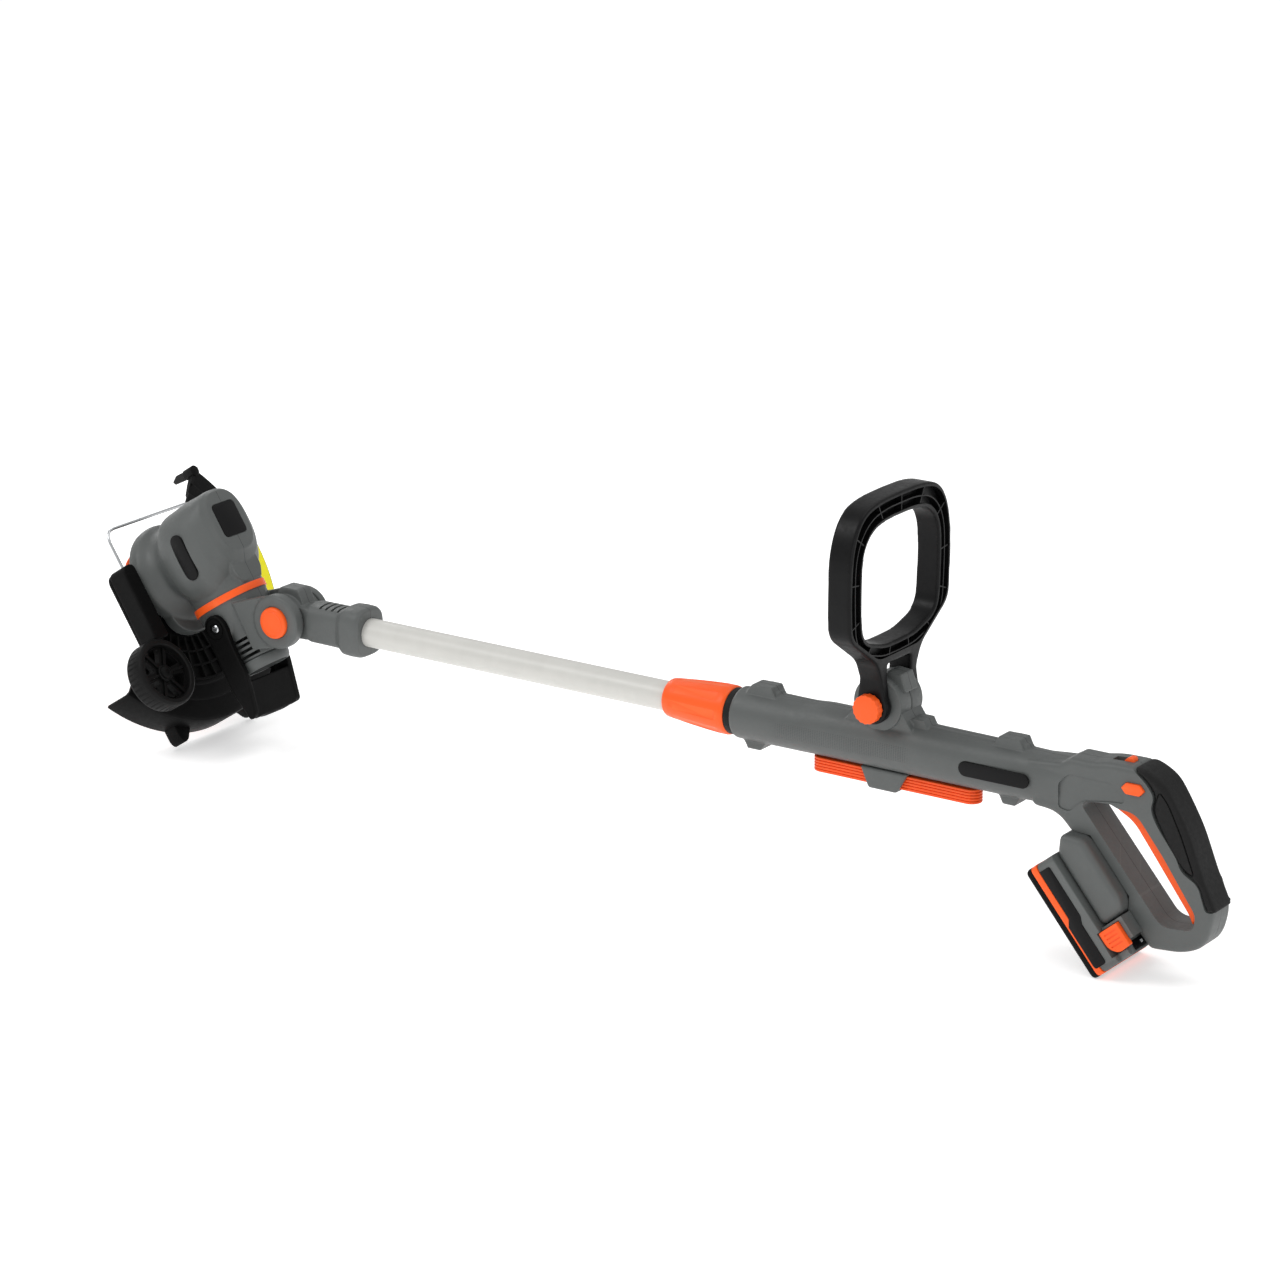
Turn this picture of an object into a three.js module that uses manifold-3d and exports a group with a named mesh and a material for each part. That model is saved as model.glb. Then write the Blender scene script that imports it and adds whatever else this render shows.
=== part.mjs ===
// Battery string trimmer with a telescopic pole, a tilting motor head and an edging wheel.
// Units are millimetres, +Z is up. Everything is laid out in the pole frame: the tube's axis is
// the X axis, the head is at -X and the rear handle at +X. The last step tips the whole tool
// by REST_TILT, so that it rests on the guard's feet and the battery, and centres it on the floor.
import * as THREE from 'three';
import { mergeVertices } from 'three/addons/utils/BufferGeometryUtils.js';
import Module from 'manifold-3d';

const wasm = await Module();
wasm.setup();

// ---- driving dimensions -------------------------------------------------------------------
const GAP = 0.3;                 // clearance between parts that touch on the real tool
const SLIVER = 0.02;             // flat slivers left by the cuts are merged below this size
const REST_TILT = 1.0;           // degrees, pole against the floor
const TUBE_R = 12.5;
const TUBE_BORE_R = 11.3;
const TUBE_FRONT = -328;
const TUBE_REAR = 190;
const BODY_R = 21.5;             // round part of the rear handle
const BODY_FRONT = 100.5;
const BODY_BORE_R = 17.5;
const BODY_BORE_END = 395;
const HALF_GRIP = 16.5;          // half width of the D grip
const LOOP_PIVOT = { x: 239, z: 37 };
const LOOP_FRONT = 228;
const LOOP_REAR = 249;
const STRUT_ANGLE = 50.2;        // degrees, slope of the battery strut
const HEAD_ANGLE = 57;           // degrees, from the pole to the guard's plane
const HEAD_CENTRE = { x: -507.8, z: 10.3 };
const TILT_PIVOT = { x: 86, z: 115 };      // in the head frame
const NECK_Z = 60;               // neck axis above the guard
const BAND_Z = 57;               // neck axis where the band sits
const GUARD_R = 134;
const GUARD_FROM = -51;          // degrees, ends of the guard's arc
const GUARD_TO = 131;
const SKIRT_DEPTH = 34.5;
const WHEEL = { x: 81, y: -80, r: 31, z0: 7.3, z1: 27 };

const GREY = 0x55585a;
const ORANGE = 0xf4561d;
const BLACK = 0x1b1b1c;
const rad = THREE.MathUtils.degToRad;

// ---- solids -------------------------------------------------------------------------------
function toSolid(geometry) {
  const bare = geometry.clone();
  bare.deleteAttribute('normal');
  bare.deleteAttribute('uv');
  const merged = mergeVertices(bare, 1e-3);
  const vertProperties = new Float32Array(merged.attributes.position.array);
  const triVerts = wholeTriangles(merged.index.array);
  if (signedVolume(vertProperties, triVerts) < 0) {
    for (let i = 0; i < triVerts.length; i += 3) {
      [triVerts[i], triVerts[i + 1]] = [triVerts[i + 1], triVerts[i]];
    }
  }
  return new wasm.Manifold(new wasm.Mesh({ numProp: 3, vertProperties, triVerts }));
}

// Triangles that shrink to a line on a turned part's axis are dropped.
function wholeTriangles(index) {
  const kept = [];
  for (let i = 0; i < index.length; i += 3) {
    const [a, b, c] = [index[i], index[i + 1], index[i + 2]];
    if (a !== b && b !== c && c !== a) {
      kept.push(a, b, c);
    }
  }
  return new Uint32Array(kept);
}

function signedVolume(points, triangles) {
  const corner = (k) => new THREE.Vector3().fromArray(points, 3 * k);
  let six = 0;
  for (let i = 0; i < triangles.length; i += 3) {
    const [a, b, c] = [0, 1, 2].map((k) => corner(triangles[i + k]));
    six += a.dot(b.cross(c));
  }
  return six / 6;
}

function toGeometry(solid) {
  const mesh = solid.getMesh();
  const geometry = new THREE.BufferGeometry();
  geometry.setAttribute('position', new THREE.BufferAttribute(mesh.vertProperties, 3));
  geometry.setIndex(new THREE.BufferAttribute(mesh.triVerts, 1));
  return geometry;
}

const join = (...geometries) => geometries.map(toSolid).reduce((a, b) => a.add(b));
const asSolid = (part) => (part.isBufferGeometry ? toSolid(part) : part);
const cut = (solid, ...parts) => parts.reduce((a, part) => a.subtract(asSolid(part)), solid);

// Outline with rounded corners, drawn anticlockwise. Each corner is [x, y] or [x, y, radius].
function outline(given, target = new THREE.Shape()) {
  const clockwise = THREE.ShapeUtils.area(given.map(([x, y]) => new THREE.Vector2(x, y))) < 0;
  const corners = clockwise ? [...given].reverse() : given;
  const points = corners.map(([x, y]) => new THREE.Vector2(x, y));
  corners.forEach(([, , radius = 0], i) => {
    const here = points[i];
    const before = points[(i + points.length - 1) % points.length];
    const after = points[(i + 1) % points.length];
    const back = before.clone().sub(here).setLength(Math.min(radius, here.distanceTo(before) / 2));
    const on = after.clone().sub(here).setLength(Math.min(radius, here.distanceTo(after) / 2));
    const start = here.clone().add(back);
    const end = here.clone().add(on);
    if (i === 0) {
      target.moveTo(start.x, start.y);
    } else {
      target.lineTo(start.x, start.y);
    }
    if (radius > 0) {
      target.quadraticCurveTo(here.x, here.y, end.x, end.y);
    }
  });
  target.closePath();
  return target;
}

// A right half, top to bottom, completed by its mirror image.
const mirrored = (half) => [
  ...half, ...half.filter(([x]) => x > 0).map(([x, y, r]) => [-x, y, r]).reverse()];

function stadium(length, width, x = 0, y = 0) {
  const shape = new THREE.Shape();
  const half = (length - width) / 2;
  shape.absarc(x + half, y, width / 2, -Math.PI / 2, Math.PI / 2);
  shape.absarc(x - half, y, width / 2, Math.PI / 2, 1.5 * Math.PI);
  return shape;
}

// A flat part drawn in its own plane and given a thickness from `low` to `high`.
function slabZ(shape, low, high, { edge = 0, grow = 0, curveSegments = 3 } = {}) {
  const thin = grow > 0 ? 0.01 : edge;
  const geometry = new THREE.ExtrudeGeometry(shape, {
    depth: high - low - 2 * thin,
    bevelEnabled: edge > 0 || grow > 0,
    bevelThickness: thin,
    bevelSize: grow > 0 ? grow : edge,
    bevelOffset: grow > 0 ? 0 : -edge,
    bevelSegments: 1,
    curveSegments,
  });
  return geometry.translate(0, 0, low + thin);
}

// Drawn in X and Z, thick along Y.
function slabY(shape, low, high, options) {
  return slabZ(shape, low, high, options).translate(0, 0, -low - high).rotateX(Math.PI / 2);
}

// Drawn in Y and Z, thick along X.
function slabX(shape, low, high, options) {
  const turn = new THREE.Matrix4().makeBasis(
    new THREE.Vector3(0, 1, 0), new THREE.Vector3(0, 0, 1), new THREE.Vector3(1, 0, 0));
  return slabZ(shape, low, high, options).applyMatrix4(turn);
}

function box(x0, x1, y0, y1, z0, z1) {
  const geometry = new THREE.BoxGeometry(x1 - x0, y1 - y0, z1 - z0);
  return geometry.translate((x0 + x1) / 2, (y0 + y1) / 2, (z0 + z1) / 2);
}

// Turned parts. A profile is a closed loop of [radius, position along the axis].
function turned(profile, segments) {
  const loop = [...profile, profile[0]].map(([r, h]) => new THREE.Vector2(r, h));
  return new THREE.LatheGeometry(loop, segments);
}

const turnedX = (profile, y = 0, z = 0, segments = 24) =>
  turned(profile, segments).rotateZ(-Math.PI / 2).translate(0, y, z);
const turnedY = (profile, x = 0, z = 0, segments = 24) =>
  turned(profile, segments).translate(x, 0, z);
const turnedZ = (profile, x = 0, y = 0, segments = 24) =>
  turned(profile, segments).rotateX(Math.PI / 2).translate(x, y, 0);
const rod = (r, low, high) => [[0, low], [r, low], [r, high], [0, high]];
const pipe = (inner, outer, low, high) => [[inner, low], [outer, low], [outer, high], [inner, high]];

// Skin through squarish rings stacked along Z: { z, x, rx, ry, power }.
function loftZ(rings, segments = 24) {
  const points = [];
  const index = [];
  const rounded = (value, power) => Math.sign(value) * Math.abs(value) ** (2 / power);
  for (const { z, x = 0, rx, ry = rx, power = 2 } of rings) {
    for (let k = 0; k < segments; k += 1) {
      const a = (k / segments) * 2 * Math.PI;
      points.push(x + rx * rounded(Math.cos(a), power), ry * rounded(Math.sin(a), power), z);
    }
  }
  for (let ring = 0; ring + 1 < rings.length; ring += 1) {
    for (let k = 0; k < segments; k += 1) {
      const a = ring * segments + k;
      const b = ring * segments + ((k + 1) % segments);
      index.push(a, b, a + segments, b, b + segments, a + segments);
    }
  }
  const last = (rings.length - 1) * segments;
  for (let k = 1; k + 1 < segments; k += 1) {
    index.push(0, k + 1, k, last, last + k, last + k + 1);
  }
  const geometry = new THREE.BufferGeometry();
  geometry.setAttribute('position', new THREE.Float32BufferAttribute(points, 3));
  geometry.setIndex(index);
  return geometry;
}

// The same along X. Ring: { at, z, ry, rz, power }.
function loftX(rings, segments = 24) {
  const upright = rings.map(({ at, z = 0, ry, rz, power }) => (
    { z: at, x: -z, rx: rz, ry, power }));
  return loftZ(upright, segments).rotateY(Math.PI / 2);
}

function bentRod(points, r, steps, sides = 8) {
  const path = new THREE.CatmullRomCurve3(points.map((p) => new THREE.Vector3(...p)),
    false, 'catmullrom', 0.15);
  const ring = new THREE.Shape().absarc(0, 0, r, 0, 2 * Math.PI);
  return new THREE.ExtrudeGeometry(ring, { steps, extrudePath: path, curveSegments: sides / 2 });
}

function coil({ r, wire, turns, length }) {
  class Helix extends THREE.Curve {
    getPoint(t, target = new THREE.Vector3()) {
      const a = 2 * Math.PI * turns * t;
      return target.set(r * Math.cos(a), r * Math.sin(a), length * t);
    }
  }
  const ring = new THREE.Shape().absarc(0, 0, wire, 0, 2 * Math.PI);
  return new THREE.ExtrudeGeometry(ring,
    { steps: turns * 10, extrudePath: new Helix(), curveSegments: 2 });
}

// ---- the assembly -------------------------------------------------------------------------
const trimmer = new THREE.Group();
trimmer.name = 'string_trimmer';

function add(name, part, colour, { roughness = 0.5, metalness = 0, frame } = {}) {
  const solid = asSolid(part);
  const geometry = toGeometry(solid.asOriginal().simplify(SLIVER));
  if (frame) {
    geometry.applyMatrix4(frame);
  }
  const material = new THREE.MeshStandardMaterial({ color: colour, roughness, metalness });
  material.flatShading = true;
  const mesh = new THREE.Mesh(geometry, material);
  mesh.name = name;
  trimmer.add(mesh);
}

const STEEL = { roughness: 0.3, metalness: 1 };

// Two mirror halves of one casing, parted along the middle plane.
function addHalves(name, solid, colour, options) {
  const reach = 700;
  const near = toSolid(box(-reach, reach, -reach, -GAP / 2, -reach, reach));
  const far = toSolid(box(-reach, reach, GAP / 2, reach, -reach, reach));
  add(`${name}_left`, solid.intersect(near), colour, options);
  add(`${name}_right`, solid.intersect(far), colour, options);
}

// ---- rear handle --------------------------------------------------------------------------
const topRib = (x0, x1, low, high) => slabY(outline(
  [[x0, low], [x1, low], [x1 - 7, high], [x0 + 8, high]]), -8.5, 8.5, { edge: 1.5 });

// Closed frame of the rear grip, seen from the side.
const gripFrame = outline([
  [372, 17], [404, 20], [413, 25.5], [432, 25.5], [445, 28, 8], [476, 28.5, 14],
  [493, 20, 9], [503, 5, 8], [516, -17, 12], [530, -52, 12], [541, -75, 12], [535, -104, 14],
  [517, -113.5, 11], [487, -116], [480, -108], [419, -38, 10], [402, -21, 10], [380, -19.5],
]);
const gripWindow = outline([
  [428, -6, 5], [449, -4.5, 3], [456, -7, 2], [472, -8, 9], [497, -39, 4], [526, -80, 5],
  [524, -93, 5], [497, -95.5, 9], [424, -10, 5],
]);

const padSide = outline([
  [466, 28.4], [476, 28.6, 8], [493, 20, 9], [503, 5, 6], [516, -17, 12], [530, -52, 10], [541.5, -76],
  [534, -75], [527, -55, 6], [512, -47, 6], [508, -37, 6], [490, -14, 8], [484, -2, 6],
  [487, 8, 5], [480, 18, 6],
]);
const triggerSide = outline([
  [449.5, -4], [450.5, -10], [466, -18, 8], [483, -40, 8], [517, -85, 5], [519.5, -91.5],
  [525.5, -85], [503, -40, 8], [485, -14, 8], [474, -4.5, 5],
]);
const TRIGGER_PIVOT = { x: 454.5, z: -6.5 };
const TRIGGER_TRAVEL = 4;        // degrees
const SPRING_SEAT = { x: 522.7, z: -65.1, angle: 52.6 };
const lockSide = outline([[459, 11.5], [463, 7], [475, 7], [479, 11.5], [475, 16], [463, 16]]);

function pressedTrigger(angle) {
  const about = new THREE.Matrix4().makeTranslation(TRIGGER_PIVOT.x, 0, TRIGGER_PIVOT.z);
  const back = new THREE.Matrix4().makeTranslation(-TRIGGER_PIVOT.x, 0, -TRIGGER_PIVOT.z);
  const turn = new THREE.Matrix4().makeRotationY(rad(-angle));
  return slabY(triggerSide, -9.6, 9.6, { grow: 0.35 })
    .applyMatrix4(about.multiply(turn).multiply(back));
}

const handleOuter = join(
  loftX([
    { at: BODY_FRONT, z: 0.5, ry: 20.3, rz: 20.3 },
    { at: BODY_FRONT + 2, z: 0.5, ry: BODY_R, rz: BODY_R },
    { at: 165, z: 0.5, ry: BODY_R, rz: BODY_R },
    { at: 185, z: 1.5, ry: BODY_R, rz: BODY_R, power: 2.3 },
    { at: 320, z: 1, ry: 21, rz: 21, power: 2.4 },
    { at: 380, z: 0.5, ry: 19, rz: 20, power: 2.6 },
    { at: 420, z: 2.5, ry: HALF_GRIP, rz: 17.5, power: 3 },
    { at: 432, z: 4.5, ry: 13, rz: 14, power: 3 },
  ]),
  slabY(gripFrame, -HALF_GRIP, HALF_GRIP, { edge: 4 }),
  topRib(107, 141, 16, 28.5),
  topRib(337, 371, 14, 28.5),
  topRib(258, 284, 14, 28),
  slabY(outline([[106, -16], [131, -16], [124, -26.5], [112, -26.5]]), -9, 9, { edge: 1.5 }),
  slabY(outline([[344, -14], [368, -14], [361, -26.5], [350, -26.5]]), -9, 9, { edge: 1.5 }),
  slabY(outline([[206, 16], [272, 16], [258, 36], [222, 36]]), -15, 15, { edge: 2 }),
  turnedY(pipe(5, 22, -17, 17), LOOP_PIVOT.x, LOOP_PIVOT.z, 24),
  slabY(outline([[236, 50], [261, 48], [256, 62.5], [243, 63.5]]), -9, 9, { edge: 1.5 }),
);
const screwPlaces = [[123, 23.6], [353, 23.6], [438, 10], [531, -97]];
const screwHole = ([x, z]) => turnedY(
  [[0, -7.5], [1.8, -7.5], [1.8, 5.7], [3.6, 5.7], [3.6, 30], [0, 30]], x, z, 12);

let handle = cut(handleOuter,
  slabY(gripWindow, -30, 30),
  turnedX(rod(BODY_BORE_R, BODY_FRONT - 2, BODY_BORE_END)),
  turnedY(rod(5.3, -30, 30), LOOP_PIVOT.x, LOOP_PIVOT.z, 16),
  slabY(padSide, -30, 30, { grow: GAP }),
  slabY(lockSide, -30, 30, { grow: GAP }),
  box(443.5, 462.5, -4.4, 4.4, 22.5, 40),
  box(404, 441, -9, 9, 3, 19),
  box(461.5, 477.5, -5, 5, -2.6, 4.6),
  slabY(stadium(64, 13, 348.5, 0.5), -40, -19.6, { edge: 0, curveSegments: 6 }),
  ...[0, 1, 2, 3].map((step) => pressedTrigger((TRIGGER_TRAVEL * step) / 3)),
  turnedZ(rod(3.4, -9, 5.2), 0, 0, 12).rotateY(rad(SPRING_SEAT.angle))
    .translate(SPRING_SEAT.x, 0, SPRING_SEAT.z),
  ...screwPlaces.map(screwHole),
);
// The round bore is deepened under the blade holder and the dock, so nothing touches them.
handle = cut(handle, box(220, 266, -13.6, 13.6, -40, -18.2));

const s = (along, across) => {
  const a = rad(STRUT_ANGLE);
  return [along * Math.cos(a) + across * Math.sin(a), -along * Math.sin(a) + across * Math.cos(a)];
};
const strutFrame = new THREE.Matrix4().makeRotationY(rad(STRUT_ANGLE));

// Battery dock, in the strut frame: X runs down the strut and Z across it.
const DOCK_HALF = 30;
const dockSide = outline([
  [289, 296], [301, 284], [367, 283.6], [367, 303], [358, 311], [303, 311],
]);
const dockChannel = [
  box(305, 380, -24.5, 24.5, 288.5, 301),
  box(305, 380, -14.5, 14.5, 280, 292),
];
const strutCore = box(270, 420, -HALF_GRIP - GAP, HALF_GRIP + GAP, 302, 330);
handle = handle.subtract(
  toSolid(slabY(dockSide, -DOCK_HALF - 1, DOCK_HALF + 1, { grow: GAP }))
    .subtract(toSolid(box(270, 420, -HALF_GRIP, HALF_GRIP, 302 + GAP, 330)))
    .transform(strutFrame.elements));
addHalves('handle_shell', handle, GREY, { roughness: 0.6 });
const dock = cut(join(slabY(dockSide, -DOCK_HALF, DOCK_HALF, { edge: 4 })), ...dockChannel, strutCore);
add('battery_dock', dock, GREY, { roughness: 0.6, frame: strutFrame });
add('terminal_block', box(306, 340, -13, 13, 297.4, 300.7), BLACK, { frame: strutFrame });

add('rear_grip_pad', slabY(padSide, -HALF_GRIP, HALF_GRIP, { edge: 1.5 }), BLACK,
  { roughness: 0.85 });
add('trigger', slabY(triggerSide, -9, 9, { edge: 1 }), ORANGE);
add('lock_off_button', slabY(lockSide, -18.8, 18.8, { edge: 1 }), ORANGE);
add('speed_switch', join(box(452, 462, -4, 4, 22.8, 26), slabY(outline(
  [[452, 25], [462, 25], [461, 31.5, 1.5], [456, 31.5, 1.5]]), -4, 4)), ORANGE);
add('control_board', box(406, 433, -7, -5.4, 4, 18), 0x1f6b3a);
add('microswitch', box(462.5, 476.5, -4, 4, -2, 4), BLACK);
add('trigger_spring', coil({ r: 2.6, wire: 0.5, turns: 3, length: 4.6 })
  .rotateY(rad(SPRING_SEAT.angle)).translate(SPRING_SEAT.x, 0, SPRING_SEAT.z), 0xb8bcc0, STEEL);
add('handle_badge', slabY(stadium(63, 12, 348.5, 0.5), -22.4, -20, { curveSegments: 6 }), BLACK);
screwPlaces.slice(0, 3).forEach(([x, z], i) => add(`handle_screw_${i + 1}`,
  turnedY([[0, -7], [1.5, -7], [1.5, 6], [3.2, 6], [3.2, 8.2], [0, 8.2]], x, z, 12),
  0x8d9194, STEEL));

// ---- locking collar and telescopic pole ------------------------------------------------------
add('collet', turnedX([[12.8, 52], [15.8, 52], [16.9, 60], [16.9, 92], [17.1, 112], [12.8, 112]], 0, 0, 24),
  BLACK);
add('seal_ring', turnedX(pipe(17.4, 19.4, 94, 100.2), 0, 0, 24), BLACK, { roughness: 0.8 });
const collar = join(turnedX([
  [12.9, 31], [14.6, 31], [16.4, 34], [17, 39], [20.6, 84], [20.6, 91], [19.6, 93.7],
  [17.4, 93.7], [17.4, 50], [12.9, 50],
], 0, 0, 24));
const GRIP_PANELS = 8;
const panel = (k) => slabY(outline([[41, 17], [84, 19.9], [84, 30], [41, 30]]), -3.4, 3.4)
  .rotateX((2 * Math.PI * k) / GRIP_PANELS);
add('locking_collar', cut(collar, ...Array.from({ length: GRIP_PANELS }, (_, k) => panel(k))),
  ORANGE);
add('tube', turnedX(pipe(TUBE_BORE_R, TUBE_R, TUBE_FRONT, TUBE_REAR), 0, 0, 28), 0xe8e8e4,
  { roughness: 0.35, metalness: 0.2 });
add('tube_guide', turnedX(pipe(7, 16.9, TUBE_REAR + GAP, TUBE_REAR + 14)), BLACK);
add('power_cable', turnedX(rod(3, TUBE_FRONT + 6, TUBE_REAR - 4), 0, 0, 10), BLACK);

// ---- spare blades under the handle ------------------------------------------------------------
const holderSide = outline([[221, -18.5], [265, -18.5], [255, -36], [229, -36]]);
add('spare_blade_holder', cut(join(slabY(holderSide, -13, 13, { edge: 1.5 })),
  box(210, 241, -9.6, 9.6, -34.2, -20.6), box(245, 280, -9.6, 9.6, -34.2, -20.6)), GREY);
function bladeStack(x0, x1, z0) {
  const layers = 5;
  const pitch = 2.5;
  const core = box(x0 + 6, x1 - 6, -8, 8, z0 - layers * pitch + 0.5, z0);
  const leaves = Array.from({ length: layers }, (_, k) => slabZ(
    stadium(x1 - x0, 18, (x0 + x1) / 2), z0 - (k + 1) * pitch + 0.5, z0 - k * pitch,
    { curveSegments: 5 }));
  return join(core, ...leaves);
}
const BLADE_TOP = -21.2;
add('spare_blades_front', bladeStack(172, 240.5, BLADE_TOP), ORANGE);
add('spare_blades_rear', bladeStack(245.5, 326, BLADE_TOP), ORANGE);

// ---- loop handle --------------------------------------------------------------------------------
const loopFace = outline(mirrored([
  [0, 210], [34, 209.5, 15], [60, 203, 14], [75, 178, 16], [77, 140, 15], [75, 104, 8],
  [34, 76, 6], [27.2, 60], [27.2, 50], [17.4, 50], [17.4, 72], [0, 72],
]));
loopFace.holes.push(outline(mirrored([
  [0, 191], [20, 191, 8], [43, 187, 12], [57, 170, 12], [58, 140, 15], [56, 106, 6],
  [48, 97, 6], [22, 89.5, 8], [0, 89],
]), new THREE.Path()));
const loopHub = (low, high) => turnedY(pipe(5.3, 14.5, low, high), LOOP_PIVOT.x, LOOP_PIVOT.z, 20);
const loopArm = (low, high) => slabY(outline(
  [[228, 56], [249, 56], [252, 40], [246, 26], [232, 26], [226, 40]]), low, high);
const loopHole = turnedY(rod(5.3, -40, 40), LOOP_PIVOT.x, LOOP_PIVOT.z, 20);
add('loop_handle', cut(join(
  slabX(loopFace, LOOP_FRONT, LOOP_REAR, { edge: 3 }),
  loopHub(-27.2, -17.4), loopHub(17.4, 27.2), loopArm(-27.2, -17.4), loopArm(17.4, 27.2)),
loopHole), BLACK, { roughness: 0.6 });
add('loop_bolt', turnedY([[0, -26.5], [4.8, -26.5], [4.8, 27.5], [10.5, 27.5], [10.5, 30.5],
  [0, 30.5]], LOOP_PIVOT.x, LOOP_PIVOT.z, 24), GREY);
const knobFace = new THREE.Shape();
const KNOB_LOBES = 12;
for (let k = 0; k < 2 * KNOB_LOBES; k += 1) {
  const a = (k / (2 * KNOB_LOBES)) * 2 * Math.PI;
  const r = 12.2 + 0.6 * Math.cos(KNOB_LOBES * a);
  knobFace[k === 0 ? 'moveTo' : 'lineTo'](LOOP_PIVOT.x + r * Math.cos(a), LOOP_PIVOT.z + r * Math.sin(a));
}
knobFace.closePath();
add('loop_knob', slabY(knobFace, -35, -27.6, { edge: 1 }), ORANGE);

// ---- battery, in the strut frame ---------------------------------------------------------------
const PACK = { x0: 299.5, x1: 398, half: 37 };
const packOutline = (inset) => outline([
  [PACK.x0 + inset, -PACK.half + inset, 5], [PACK.x1 - inset, -PACK.half + inset, 5],
  [PACK.x1 - inset, PACK.half - inset, 5], [PACK.x0 + inset, PACK.half - inset, 5]]);
const cellRoom = box(302.5, 395, -34, 34, 258.4, 279);
add('battery_base', cut(join(slabZ(packOutline(0), 253.8, 260, { edge: 2 })), cellRoom), BLACK,
  { frame: strutFrame });
add('battery_band', cut(join(slabZ(packOutline(0), 260.3, 266, {})), cellRoom), ORANGE,
  { frame: strutFrame });
const caseSolid = join(
  slabZ(packOutline(0.4), 266.3, 283.3, { edge: 1.2 }),
  slabZ(outline([[367.6, -31.5], [397.6, -31.5, 4], [397.6, 31.5, 4], [367.6, 31.5]]),
    282, 294, { edge: 2 }),
  box(367.6, 386, -31.5, 31.5, 290, 305),
  box(307, 368, -14, 14, 282, 290),
  box(307, 368, -20, 20, 289.2, 297),
);
const releasePocket = (low, high) => box(369.5, 391.5, low, high, 280.5, 301);
add('battery_case', cut(caseSolid, cellRoom,
  box(360, 410, -17.2, 17.2, 296.6, 320),
  releasePocket(-40, -27), releasePocket(27, 40),
  box(387.6, 396, -22, 22, 293.4, 296)), GREY, { frame: strutFrame });
add('battery_cells', join(...[0, 1, 2, 3, 4].map((k) => turnedY(
  rod(9.2, -32.5, 32.5), 312.2 + 18.2 * k, 268.2, 16))), 0x2c5f8a, { frame: strutFrame });
const releaseFace = outline([[370, 281], [384, 281, 4], [391, 288, 3], [390, 300.5], [370, 300.5]]);
add('release_button_left', slabY(releaseFace, -35.6, -30, { edge: 1 }), ORANGE, { frame: strutFrame });
add('release_button_right', slabY(releaseFace, 30, 35.6, { edge: 1 }), ORANGE, { frame: strutFrame });
add('charge_indicator', box(388, 395.6, -21.6, 21.6, 293.7, 294.6), 0x3a3c3e, { frame: strutFrame });

// ---- pole adaptor ---------------------------------------------------------------------------------
const headPoint = (x, z) => {
  const a = rad(HEAD_ANGLE);
  return { x: HEAD_CENTRE.x + x * Math.cos(a) + z * Math.sin(a),
    z: HEAD_CENTRE.z - x * Math.sin(a) + z * Math.cos(a) };
};
const pivot = headPoint(TILT_PIVOT.x, TILT_PIVOT.z);
const adaptorOuter = join(
  loftX([
    { at: -350, ry: 13, rz: 14, power: 3 }, { at: -338, ry: 16, rz: 17.6, power: 3 },
    { at: -306, ry: 16.5, rz: 17.8, power: 3 }, { at: -300, ry: 19.5, rz: 21.6, power: 3.4 },
    { at: -280, ry: 19.5, rz: 21.6, power: 3.4 }, { at: -277, ry: 18, rz: 20, power: 3.4 },
  ], 24),
  turnedY(rod(20.5, -15, 15), pivot.x, pivot.z, 24),
  box(pivot.x, -340, -14, 14, -14, 14),
  slabY(outline([[pivot.x - 14, 14], [pivot.x + 18, 14], [pivot.x + 12, 27.5],
    [pivot.x - 8, 27.5]]), -8.5, 8.5, { edge: 2 }),
);
const SLOTS = [-327, -320.5, -314, -307.5];
const adaptor = cut(adaptorOuter,
  turnedX(rod(TUBE_R + GAP, TUBE_FRONT - GAP, -270), 0, 0, 24),
  turnedY(rod(6.3, -30, 30), pivot.x, pivot.z, 16),
  ...SLOTS.flatMap((x) => [box(x - 1.2, x + 1.2, -11, 11, 15.2, 22),
    box(x - 1.2, x + 1.2, -11, 11, -22, -15.2)]));
addHalves('adaptor', adaptor, GREY, { roughness: 0.6 });

// ---- motor head: Z is the spindle's axis, X runs along the neck, the guard's top is Z = 0 ---------
const headFrame = new THREE.Matrix4().makeTranslation(HEAD_CENTRE.x, 0, HEAD_CENTRE.z)
  .multiply(new THREE.Matrix4().makeRotationY(rad(HEAD_ANGLE)));
const inHead = (extra = {}) => ({ roughness: 0.6, ...extra, frame: headFrame });
const PEDAL_PIVOT = { x: 65, z: 53 };

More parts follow.
